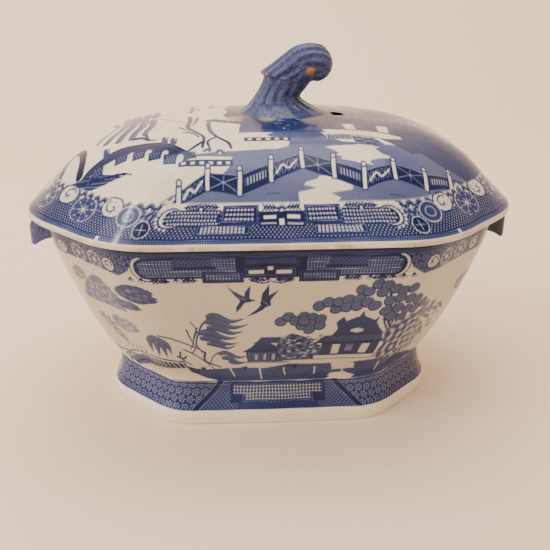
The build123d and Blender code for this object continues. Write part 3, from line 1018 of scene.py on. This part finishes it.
def tree_crowns(page):
    for path, width in (
        ([(282, 118), (286, 104), (288, 94), (294, 84), (300, 76)], 2.4),
        ([(292, 112), (290, 100), (293, 90)], 1.6), ([(288, 94), (296, 96), (306, 90)], 1.4),
    ):
        page.curve(path, width + 2.0, 0.85)
        page.curve(path, width, 0.15, tip=0.8)
        page.curve([(u + 0.8, z) for u, z in path], width * 0.35, 0.8)
    lobes(page, [(213, 94), (218, 98), (223, 94.5), (229, 98), (235, 97), (241, 95.5), (228, 90), (234, 91),
                 (241, 89.5), (234, 86), (229, 94)])
    lobes(page, [(238, 107), (244, 110), (250, 104), (251, 110), (257, 112), (257, 105), (264, 112),
                 (264, 106), (270, 109), (276, 106)])
    lobes(page, [(264, 120), (269, 118), (274, 124), (280, 123), (278, 117), (286, 120), (292, 118),
                 (299, 119)], 3.6)
    lobes(page, [(285, 110), (292, 112), (300, 110), (307, 108), (285, 101), (293, 103), (301, 101),
                 (308, 100), (315, 103), (291, 96), (299, 94), (322, 98), (318, 92), (326, 90),
                 (334, 94)], 3.8)
    rng = np.random.default_rng(3)
    for _ in range(60):
        u, z = rng.uniform(300, 352), rng.uniform(64, 92)
        blade(page, [(u, z), (u + 5, z - 1), (u + 9, z - 5)], 3.0, rng.choice([0.3, 0.6, 0.78]))


END_CROWN = [(-26, 97), (-19, 101), (-12, 98), (-5, 103), (2, 100), (9, 104), (16, 100), (23, 97),
             (-15, 109), (-7, 113), (1, 110), (9, 113), (16, 109), (-4, 120), (4, 120), (-30, 86),
             (-23, 82), (20, 84), (27, 80)]


def end_trees(page):
    """One tree at the middle of each end, drawn across the seam where the two pictures meet."""
    for seam in (0.0, BOWL_HALF_ROUND):
        trunk = [(seam - 3, 40), (seam + 2, 60), (seam - 2, 80), (seam + 3, 106)]
        page.curve(trunk, 4.6, 0.82, tip=0.6)
        page.curve(trunk, 2.4, 0.2, tip=0.6)
        page.curve([(seam - 1, 72), (seam - 12, 82), (seam - 24, 84)], 1.8, 0.8, tip=0.6)
        page.curve([(seam, 70), (seam + 12, 78), (seam + 22, 80)], 1.8, 0.8, tip=0.6)
        lobes(page, [(seam + across, z) for across, z in END_CROWN], 4.6)
        bush = [(-24, 46), (-12, 54), (4, 50), (20, 55), (30, 46), (0, 42)]
        tuft(page, [(seam + across, z) for across, z in bush], 0.5, 41)


def bowl_print():
    page = Canvas(0.0, BOWL_HALF_ROUND, 30.0, 156.0)
    end_trees(page)
    left_foliage(page)
    water(page)
    left_bridge(page)
    willow(page)
    swallows(page)
    tree_crowns(page)
    small_temple(page)
    pagoda(page)
    bowl_border(page)
    return page


# ------------------------------ the foot ------------------------------

FOOT_MIDDLE = 165.0
FOOT_PRINT = (12.4, 32.2)


def foot_print():
    page = Canvas(0.0, FOOT_HALF_ROUND, 0.0, 34.0)
    low, high = FOOT_PRINT
    page.bar(-2, low, FOOT_HALF_ROUND + 2, high, DEEP, curled(6.6, 0.82, 0.22))
    for side in (-1, 1):
        def at(distance):
            return FOOT_MIDDLE + side * distance
        page.fill([(at(59), low), (at(42), high), (at(0), high), (at(0), low)], 0.85, crossed(2.0, 0.86, 0.4))
        page.stroke([(at(61), low), (at(44), high)], 4.8, 0.3)
        page.stroke([(at(61), low), (at(44), high)], 3.8, 0.88)
    page.bar(FOOT_MIDDLE - 36, 17.0, FOOT_MIDDLE + 36, high, 0.85)
    page.bar(FOOT_MIDDLE - 34, 23.4, FOOT_MIDDLE + 34, 30.2, DEEP, lattice(2.4, 0.75, 0.92, 0.15))
    page.bar(FOOT_MIDDLE - 25, 18.6, FOOT_MIDDLE + 25, 25.0, DEEP, lattice(2.4, 0.75, 0.92, 0.15))
    page.frame(FOOT_MIDDLE - 26.4, 17.6, FOOT_MIDDLE + 26.4, 23.0, 0.5, 0.4)
    page.bar(FOOT_MIDDLE - 30, low, FOOT_MIDDLE + 30, 16.6, 0.8, hatched(1.5, 60, 0.92, 0.5))
    page.stroke([(-2, high), (FOOT_HALF_ROUND + 2, high)], 0.7, DEEP)
    page.stroke([(-2, high - 1.4), (FOOT_HALF_ROUND + 2, high - 1.4)], 0.4, 0.4)
    page.stroke([(-2, low), (FOOT_HALF_ROUND + 2, low)], 0.6, DEEP)
    return page


# ---------------------------------------------------------------------------------------------
# Materials
# ---------------------------------------------------------------------------------------------

CREAM = (0.870, 0.785, 0.655, 1.0)
# painted light: the next colour lightens the plain band round the foot, as if lit from the front
FOOT_BAND_PAINTED_LIGHT = (0.95, 0.875, 0.745, 1.0)
# partly painted shade: the next tone darkens the bowl's glaze, partly as its own tone and partly as painted
# shade
BOWL_TONE_AND_SHADE = (0.66, 0.665, 0.665, 1.0)
WASH_BLUE = (0.105, 0.130, 0.285, 1.0)
MID_BLUE = (0.027, 0.044, 0.165, 1.0)
DARK_BLUE = (0.005, 0.010, 0.060, 1.0)
FIRST_TINT = (0.60, 0.56, 0.53, 1.0)
AGE_TINT = (0.80, 0.72, 0.60, 1.0)
CRAZE_BROWN = (0.42, 0.33, 0.24, 1.0)
CRAZE_SCALE = 95.0
JOINT_DIRT = (0.33, 0.24, 0.12, 1.0)
GLAZE_IOR, GLAZE_SHINE = 1.46, 0.25
# painted glare: the next saturation greys the bowl's picture to stand in for reflected light over it
BOWL_GLARE_SATURATION = 0.78


class Nodes:
    """A short way to write a material's node tree."""

    def __init__(self, name):
        self.material = bpy.data.materials.new(name)
        self.material.use_nodes = True
        self.tree = self.material.node_tree
        self.shader = self.tree.nodes["Principled BSDF"]

    def add(self, kind, inputs=(), **settings):
        node = self.tree.nodes.new(kind)
        for key, value in settings.items():
            setattr(node, key, value)
        for key, value in dict(inputs).items():
            self.put(node.inputs[key], value)
        return node

    def put(self, socket, value):
        if isinstance(value, bpy.types.NodeSocket):
            self.tree.links.new(value, socket)
        else:
            socket.default_value = value

    def math(self, operation, a, b=0.0, c=0.0):
        return self.add("ShaderNodeMath", {0: a, 1: b, 2: c}, operation=operation).outputs[0]

    def noise(self, scale, detail=3.0, roughness=0.5, vector=None, distortion=0.0):
        inputs = {"Scale": scale, "Detail": detail, "Roughness": roughness, "Distortion": distortion,
                  "Vector": vector or self.position()}
        return self.add("ShaderNodeTexNoise", inputs).outputs["Fac"]

    def position(self):
        return self.add("ShaderNodeTexCoord").outputs["Object"]

    def ramp(self, value, stops, interpolation="LINEAR"):
        node = self.add("ShaderNodeValToRGB", {"Fac": value})
        node.color_ramp.interpolation = interpolation
        elements = node.color_ramp.elements
        while len(elements) < len(stops):
            elements.new(0.5)
        for element, (place, colour) in zip(elements, stops):
            element.position = place
            element.color = colour if isinstance(colour, tuple) else (colour, colour, colour, 1.0)
        return node.outputs["Color"]

    def mix(self, factor, a, b, blend="MIX"):
        node = self.add("ShaderNodeMix", data_type="RGBA", blend_type=blend)
        self.put(node.inputs[0], factor)
        self.put(node.inputs[6], a)
        self.put(node.inputs[7], b)
        return node.outputs[2]

    def bump(self, height, strength, distance):
        inputs = {"Height": height, "Strength": strength, "Distance": distance}
        return self.add("ShaderNodeBump", inputs).outputs[0]


def stained(nodes, colour, amount=0.35, bare=1.0):
    """Age in the glaze: faint warm clouds, and a fine craze in places where the glaze is bare."""
    clouds = nodes.ramp(nodes.noise(14.0, 4.0, 0.6), [(0.42, 0.0), (0.72, 1.0)])
    colour = nodes.mix(nodes.math("MULTIPLY", clouds, amount), colour, AGE_TINT, "MULTIPLY")
    cells = nodes.add("ShaderNodeTexVoronoi", {"Scale": CRAZE_SCALE, "Vector": nodes.position()},
                      feature="DISTANCE_TO_EDGE")
    line = nodes.ramp(cells.outputs["Distance"], [(0.0, 1.0), (0.025, 0.0)])
    patch = nodes.ramp(nodes.noise(9.0, 2.0), [(0.5, 0.0), (0.65, 0.22)])
    craze = nodes.math("MULTIPLY", nodes.math("MULTIPLY", line, patch), bare)
    return nodes.mix(craze, colour, CRAZE_BROWN)


def near_point(nodes, place, radius):
    """1 at a place on the piece, fading to 0 at the radius; both in millimetres."""
    ends = {0: nodes.position(), 1: Vector(place) * MM}
    away = nodes.add("ShaderNodeVectorMath", ends, operation="DISTANCE").outputs["Value"]
    return nodes.ramp(nodes.math("DIVIDE", away, radius * MM), [(0.3, 1.0), (1.0, 0.0)])


def grimy(nodes, colour):
    """Brown dirt round the lid's edge, a dark brown patch round the vent, and two old stains beside the knob.
    """
    height = nodes.add("ShaderNodeSeparateXYZ", {0: nodes.position()}).outputs["Z"]
    off = nodes.math("ABSOLUTE", nodes.math("SUBTRACT", height, (RIM_TOP - 2.6) * MM))
    band = nodes.ramp(nodes.math("DIVIDE", off, 3.2 * MM), [(0.35, 1.0), (1.0, 0.0)])
    broken = nodes.ramp(nodes.noise(60.0, 4.0, 0.65), [(0.40, 0.15), (0.62, 1.0)])
    colour = nodes.mix(nodes.math("MULTIPLY", nodes.math("MULTIPLY", band, broken), 0.6), colour,
                       JOINT_DIRT)
    for place, radius, share, stain in (
        ((-3, -26, 218), 8.0, 0.75, (0.40, 0.42, 0.20, 1.0)),
        ((-27, -24, 217), 9.0, 0.6, (0.55, 0.56, 0.36, 1.0)),
        ((*VENT_PLACE, RIM_TOP + 59), 9.4, 0.85, (0.13, 0.10, 0.065, 1.0)),
    ):
        colour = nodes.mix(nodes.math("MULTIPLY", near_point(nodes, place, radius), share), colour, stain)
    return colour


def glaze_surface(nodes, colour):
    shader = nodes.shader
    nodes.put(shader.inputs["Base Color"], colour)
    rough = nodes.ramp(nodes.noise(30.0, 3.0), [(0.3, 0.10), (0.8, 0.22)])
    nodes.put(shader.inputs["Roughness"], rough)
    shader.inputs["IOR"].default_value = GLAZE_IOR
    shader.inputs["Specular IOR Level"].default_value = GLAZE_SHINE
    ripple = nodes.noise(22.0, 2.0)
    orange_peel = nodes.noise(160.0, 2.0)
    height = nodes.math("MULTIPLY_ADD", orange_peel, 0.12, ripple)
    nodes.put(shader.inputs["Normal"], nodes.bump(height, 0.25, 0.0012))


def printed_glaze():
    """Cream earthenware whose blue comes from the ink on the vertices."""
    nodes = Nodes("printed_glaze")
    ink = nodes.add("ShaderNodeAttribute", attribute_name="ink").outputs["Fac"]
    grain = nodes.noise(900.0, 2.0, 0.6)
    cloud = nodes.noise(26.0, 3.0, 0.6)
    # the print is a little uneven: stippled grain in the washes and paler patches in the darks
    even = nodes.math("MULTIPLY_ADD", nodes.math("SUBTRACT", grain, 0.5), 0.18, 1.0)
    patchy = nodes.math("MULTIPLY_ADD", nodes.math("SUBTRACT", cloud, 0.5), 0.35, 0.98)
    ink = nodes.math("MULTIPLY", nodes.math("MULTIPLY", ink, even), patchy)
    blue = nodes.ramp(ink, [(0.0, CREAM), (0.12, FIRST_TINT), (0.45, WASH_BLUE), (0.68, MID_BLUE),
                            (0.95, DARK_BLUE)])
    height = nodes.add("ShaderNodeSeparateXYZ", {0: nodes.position()}).outputs["Z"]
    # painted glare: the bowl's picture is greyed, standing in for the veil of reflected light over it
    picture = nodes.ramp(nodes.math("DIVIDE", height, BOWL_Z[-1] * MM),
                         [(0.33, 0.0), (0.38, 0.6), (0.80, 0.6), (0.84, 0.0)])
    glare_greyed = nodes.add("ShaderNodeHueSaturation", {"Saturation": BOWL_GLARE_SATURATION, "Color": blue}).outputs[0]
    inked = nodes.math("MINIMUM", nodes.math("MULTIPLY", ink, 4.0), 1.0)
    blue = nodes.mix(nodes.math("MULTIPLY", picture, inked), blue, glare_greyed)
    # the bowl's glaze is darker than the lid's and the foot's, mostly where it is bare: partly the glaze's
    # own tone and partly painted shade
    body = nodes.ramp(nodes.math("DIVIDE", height, BOWL_Z[-1] * MM),
                      [(0.22, 0.0), (0.30, 1.0), (0.94, 1.0), (1.0, 0.0)])
    bare = nodes.math("SUBTRACT", 1.0, inked)
    tone_and_shade = nodes.math("MULTIPLY", body, nodes.math("MULTIPLY_ADD", bare, 0.55, 0.45))
    blue = nodes.mix(tone_and_shade, blue, BOWL_TONE_AND_SHADE, "MULTIPLY")
    # painted light: the plain band round the foot is lightened into the whitest part, as if lit from the
    # front
    band = nodes.ramp(nodes.math("DIVIDE", height, FOOT_TOP * MM), [(0.34, 1.0), (0.38, 0.0)])
    blue = nodes.mix(band, blue, FOOT_BAND_PAINTED_LIGHT)
    glaze_surface(nodes, grimy(nodes, stained(nodes, blue, bare=bare)))
    return nodes.material


def cream_glaze():
    nodes = Nodes("cream_glaze")
    glaze_surface(nodes, stained(nodes, CREAM, 0.5))
    return nodes.material


def cobalt_glaze(name, dark, middle, light):
    """Sponged cobalt: a mottled mid blue that thins to grey in patches."""
    nodes = Nodes(name)
    speckle = nodes.noise(900.0, 3.0, 0.7, distortion=0.8)
    blotch = nodes.noise(240.0, 4.0, 0.7, distortion=1.6)
    value = nodes.math("MULTIPLY_ADD", blotch, 0.55, nodes.math("MULTIPLY", speckle, 0.65))
    blue = nodes.ramp(value, [(0.46, dark), (0.60, middle), (0.82, light)])
    wear = nodes.add("ShaderNodeAttribute", attribute_name="wear").outputs["Fac"]
    worn = nodes.mix(nodes.noise(120.0, 3.0), (0.40, 0.16, 0.035, 1.0), (0.48, 0.24, 0.08, 1.0))
    glaze_surface(nodes, nodes.mix(wear, blue, worn))
    return nodes.material


def finish(piece, material, body, slot, *nodes):
    piece.data.materials.append(material)
    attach(piece, body)
    if nodes:
        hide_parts(*nodes)


# ---------------------------------------------------------------------------------------------
# Pieces
# ---------------------------------------------------------------------------------------------

def slope_distance(scale):
    """How far up the lid's slope a ring lies from the rim, measured at the front's middle."""
    steps = np.linspace(1.0, 0.0, 400)
    rise = smooth(steps, DOME_SCALE, DOME_RISE)
    out = (RIM_WIDTH + SIDE_BOW) * steps
    run = np.r_[0, np.cumsum(np.hypot(np.diff(rise), np.diff(out)))]
    return np.interp(1.0 - np.asarray(scale, float), 1.0 - steps, run)


def make_lid(border, scene):
    around = np.arange(AROUND) / AROUND * 2 * RIM_HALF_ROUND
    rings, inks = [], []

    def add(points, z, ink):
        rings.append(ring(points, z))
        inks.append(np.broadcast_to(ink, AROUND))

    # the top of the shell, from the middle out to the rim
    scales = np.concatenate([np.linspace(0.01, 0.5, 70), np.linspace(0.5, 1.0, 150)[1:]])
    for scale in scales:
        points = RIM * scale
        z = RIM_TOP + smooth(scale, DOME_SCALE, DOME_RISE)
        v = float(slope_distance(scale))
        picture = scene.sample(points[:, 0], -np.abs(points[:, 1]))
        if v < BORDER_HEIGHT + 2:
            band = border.sample(around % RIM_HALF_ROUND, v)
            share = np.clip((BORDER_HEIGHT + 1 - v) / 1.5, 0, 1)
            picture = np.maximum(band, picture * (1 - share)) if share < 1 else band
        add(points, z, picture)
    # the edge, rounded, then the underside of the brim and the inside of the dome
    for inset, drop in (
        (-0.15, 0.8), (-0.2, 1.8), (0.0, 2.9), (0.5, 3.6), (1.4, 4.0), (4.0, 4.0), (8.0, 4.0), (9.0, 3.4),
    ):
        add(outline(RIM_LENGTH - inset, RIM_WIDTH - inset, CANT_X, CANT_Y, CORNER), RIM_TOP - drop, 0.0)
    for scale in (0.955, 0.93, 0.88, 0.8, 0.7, 0.6, 0.45, 0.35, 0.2, 0.1, 0.01):
        drop = LID_WALL * (LID_WALL_AT_RIM + (1 - LID_WALL_AT_RIM) * (1 - scale))
        inner = scale * (1 - LID_WALL / RIM_LENGTH)
        add(RIM * inner, RIM_TOP + smooth(scale, DOME_SCALE, DOME_RISE) - drop, 0.0)
    return ring_mesh("lid_shell", rings[::-1], inks[::-1], hole=(VENT_PLACE, VENT_RADIUS, LID_WALL))


def make_bowl(page):
    around = np.arange(AROUND) / AROUND * 2 * BOWL_HALF_ROUND % BOWL_HALF_ROUND
    rings, inks = [], []

    def add(z, shrink, printed):
        rings.append(ring(bowl_outline(z, shrink), z))
        inks.append(page.sample(around, z) if printed else BARE)

    base = BOWL_Z[0]
    rings.append(ring(bowl_outline(base) * 0.01, base))
    inks.append(BARE)
    for z in np.linspace(base, BOWL_Z[-1] - 1.8, 165):
        add(z, 0.0, True)
    for z, shrink in ((BOWL_Z[-1] - 0.9, 0.3), (BOWL_Z[-1] - 0.2, 1.2), (BOWL_Z[-1], 2.4), (BOWL_Z[-1], 4.8),
                      (BOWL_Z[-1] - 0.7, 6.1)):
        add(z, shrink, False)
    for z in np.linspace(BOWL_Z[-1] - 2.0, BOWL_FLOOR + FLOOR_CURVE, 16):
        add(z, BOWL_WALL, False)
    floor = bowl_outline(BOWL_FLOOR + FLOOR_CURVE, BOWL_WALL)
    for angle in (20, 40, 60, 80):
        turn = math.radians(angle)
        grow = 1 - 0.07 * (1 - math.cos(turn)) * 1.2
        rings.append(ring(floor * grow, BOWL_FLOOR + FLOOR_CURVE * (1 - math.sin(turn))))
        inks.append(BARE)
    rings.append(ring(floor * 0.01, BOWL_FLOOR))
    inks.append(BARE)
    return ring_mesh("bowl_shell", rings, inks)


def make_foot(page):
    around = np.arange(AROUND) / AROUND * 2 * FOOT_HALF_ROUND % FOOT_HALF_ROUND
    rings, inks = [], []
    for z, shrink in ((0.0, 4.0), (0.0, 1.2), (0.4, 0.3), (1.2, 0.0)):
        rings.append(ring(foot_outline(z, shrink), z))
        inks.append(BARE)
    for z in np.linspace(2.0, FOOT_Z[-1], 60):
        rings.append(ring(foot_outline(z), z))
        inks.append(page.sample(around, z))
    for z, shrink in (
        (FOOT_Z[-1], FOOT_WALL), (24.0, FOOT_WALL), (12.0, FOOT_WALL), (3.0, FOOT_WALL),
        (0.4, FOOT_WALL - 1), (0.0, FOOT_WALL - 2),
    ):
        rings.append(ring(foot_outline(z, shrink), z))
        inks.append(BARE)
    rings.append(rings[0])
    inks.append(inks[0])
    return ring_mesh("foot_shell", rings, inks, closed_ends=False)


def make_knob():
    """A breaking wave, with fine ridges that run with it and one deep fold under the curl."""
    knots = np.arange(len(KNOB))
    along = np.linspace(0, len(KNOB) - 1, (len(KNOB) - 1) * KNOB_STEPS + 1)
    x, z, lean, size, depth = (smooth(along, knots, column) for column in zip(*KNOB))
    lean = np.radians(lean)
    turn = np.linspace(0, 2 * math.pi, KNOB_AROUND, endpoint=False)
    fade = np.clip(along / 1.5, 0, 1) * np.clip((knots[-1] - along) / 3.0, 0, 1)
    rings, wear = [], []
    for k, place in enumerate(along):
        ridge = RIDGE_DEPTH * np.cos(RIDGES * turn + RIDGE_TWIST * place)
        away = (turn - FOLD_TURN - FOLD_TWIST * (place - 6) + math.pi) % (2 * math.pi) - math.pi
        fold = FOLD_DEPTH * np.exp(-(away / FOLD_WIDTH) ** 2) * np.clip((place - 3) / 2, 0, 1)
        grow = fade[k] * (ridge - fold)
        u = (size[k] + grow) * np.cos(turn)
        v = (depth[k] + grow) * np.sin(turn)
        points = np.column_stack([x[k] + u * math.cos(lean[k]), v, z[k] - u * math.sin(lean[k])])
        rings.append(points)
        spots = [amount * np.exp(-(np.linalg.norm(points - centre, axis=1) / radius) ** 4)
                 for centre, radius, amount in KNOB_WEAR]
        wear.append(np.clip(np.max(spots, axis=0) * 1.3, 0, 1))
    return ring_mesh("knob", rings, wear, attribute="wear")


# ---------------------------------------------------------------------------------------------
# The camera, the stage and the lights
# ---------------------------------------------------------------------------------------------

TURN, TILT, ROLL = math.radians(3.5), math.radians(22.3), math.radians(0.15)
CAMERA_AWAY = 0.600
CAMERA_AIM = Vector((0.004, 0.0, 0.0895))
LENS, SENSOR = 49.5, 36.0

SHEET_COLOUR, SHEET_ROUGHNESS = (0.98, 0.82, 0.65, 1.0), 0.85
# The room's light: (height as the Z of the direction, colour), then its strength and how it falls along +X
ROOM = [(0.15, (0.15, 0.135, 0.115, 1.0)), (0.75, (1.03, 0.905, 0.755, 1.0))]
ROOM_STRENGTH, ROOM_FALL = 1.03, -0.36
WARM, WHITE = (1.0, 0.93, 0.82), (1.0, 1.0, 1.0)
# Lamps, in metres: (name, place, aim, size, power, colour)
LAMPS = [
    ("key", (-1.7, -0.8, 1.3), (0, 0, 0.1), 1.8, 32.0, WARM),
    ("backdrop", (0.0, 0.35, 1.6), (0, 1.2, 0.6), 1.4, 21.0, WARM),
    ("glint", (-0.86, -0.40, 1.05), (-0.094, -0.102, 0.174), 0.035, 1.3, WHITE),
]


def make_camera():
    data = bpy.data.cameras.new("camera")
    data.lens, data.sensor_width = LENS, SENSOR
    data.clip_start = 0.01
    camera = bpy.data.objects.new("camera", data)
    bpy.context.scene.collection.objects.link(camera)
    back = Vector((-math.sin(TURN) * math.cos(TILT), -math.cos(TURN) * math.cos(TILT), math.sin(TILT)))
    camera.location = CAMERA_AIM + back * CAMERA_AWAY
    turned = back.to_track_quat("Z", "Y").to_matrix().to_4x4() @ Matrix.Rotation(ROLL, 4, "Z")
    camera.matrix_world = Matrix.Translation(camera.location) @ turned
    bpy.context.scene.camera = camera


def make_light(name, place, aim, size, power, colour):
    data = bpy.data.lights.new(name, "AREA")
    data.shape, data.size, data.energy, data.color = "DISK", size, power, colour
    lamp = bpy.data.objects.new(name, data)
    bpy.context.scene.collection.objects.link(lamp)
    lamp.location = place
    lamp.rotation_euler = (Vector(aim) - Vector(place)).to_track_quat("-Z", "Y").to_euler()


def place_sheet(name, vertices, faces, material):
    mesh = bpy.data.meshes.new(name)
    mesh.from_pydata(vertices, [], faces)
    mesh.shade_smooth()
    mesh.materials.append(material)
    sheet = bpy.data.objects.new(name, mesh)
    bpy.context.scene.collection.objects.link(sheet)


def make_stage():
    """A plain sweep: floor, a long bend and a wall, all one pale sheet."""
    back, bend, width, top = 0.75, 0.5, 6.0, 3.0
    profile = [(-6.0, 0.0), (back, 0.0)]
    for k in range(1, 13):
        angle = math.pi / 2 * k / 12
        profile.append((back + bend * math.sin(angle), bend * (1 - math.cos(angle))))
    profile.append((back + bend, top))
    vertices = [(x, y, z) for y, z in profile for x in (-width, width)]
    faces = [(2 * k, 2 * k + 1, 2 * k + 3, 2 * k + 2) for k in range(len(profile) - 1)]
    nodes = Nodes("sweep")
    nodes.shader.inputs["Base Color"].default_value = SHEET_COLOUR
    nodes.shader.inputs["Roughness"].default_value = SHEET_ROUGHNESS
    place_sheet("sweep", vertices, faces, nodes.material)
    # a far round wall of the same sheet closes the other three sides
    around, near, rise = 96, 3.4, 2.2
    profile = [(near + rise * math.sin(angle), rise * (1 - math.cos(angle)))
               for angle in np.linspace(0, math.pi / 2, 13)]
    vertices = [(r * math.cos(2 * math.pi * k / around), r * math.sin(2 * math.pi * k / around), z)
                for r, z in profile for k in range(around)]
    faces = []
    for i in range(len(profile) - 1):
        for k in range(around):
            a, b = i * around + k, i * around + (k + 1) % around
            faces.append((a, b, b + around, a + around))
    place_sheet("surround", vertices, faces, nodes.material)


def make_lights():
    world = bpy.data.worlds.new("world")
    bpy.context.scene.world = world
    world.use_nodes = True
    background = world.node_tree.nodes["Background"]
    tree = world.node_tree
    way = tree.nodes.new("ShaderNodeTexCoord").outputs["Generated"]
    split = tree.nodes.new("ShaderNodeSeparateXYZ")
    ramp = tree.nodes.new("ShaderNodeValToRGB")
    tree.links.new(way, split.inputs[0])
    tree.links.new(split.outputs["Z"], ramp.inputs[0])
    tree.links.new(ramp.outputs["Color"], background.inputs["Color"])
    stops = ramp.color_ramp.elements
    for stop, (position, colour) in zip(stops, ROOM):
        stop.position, stop.color = position, colour
    # the room is darker towards the right
    dimmer = tree.nodes.new("ShaderNodeMath")
    dimmer.operation = "MULTIPLY_ADD"
    dimmer.inputs[1].default_value, dimmer.inputs[2].default_value = ROOM_FALL, ROOM_STRENGTH
    tree.links.new(split.outputs["X"], dimmer.inputs[0])
    tree.links.new(dimmer.outputs[0], background.inputs["Strength"])
    for lamp in LAMPS:
        make_light(*lamp)


def main():
    printed = printed_glaze()
    lid = make_lid(lid_border(), lid_scene())
    finish(lid, printed, "cover", "printed_glaze", "lid")
    bowl = make_bowl(bowl_print())
    finish(bowl, printed, "tureen", "printed_glaze", "bowl")
    foot = make_foot(foot_print())
    finish(foot, printed, "tureen", "printed_glaze", "foot")
    knob_blue = cobalt_glaze("cobalt_glaze", (0.020, 0.030, 0.100, 1.0), (0.058, 0.080, 0.205, 1.0),
                             (0.135, 0.165, 0.300, 1.0))
    finish(make_knob(), knob_blue, "cover", "cobalt_glaze", "finial")
    # painted light and shade: the handles take lit and shaded copies of one cobalt glaze, the left one
    # lighter as painted light and the right one dark grey-green as painted shade
    left_painted_light_blue = cobalt_glaze("cobalt_left_painted_light", (0.028, 0.036, 0.120, 1.0), (0.075, 0.090, 0.215, 1.0),
                             (0.150, 0.170, 0.320, 1.0))
    right_painted_shade_blue = cobalt_glaze("cobalt_right_painted_shade", (0.010, 0.016, 0.030, 1.0), (0.030, 0.042, 0.055, 1.0),
                              (0.074, 0.090, 0.092, 1.0))
    for node, material in (
        ("handle_left", left_painted_light_blue), ("handle_right", right_painted_shade_blue), ("lid_flange", cream_glaze()),
    ):
        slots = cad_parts[node].data.materials
        slots.clear()
        slots.append(material)
    make_stage()
    make_lights()
    make_camera()


main()
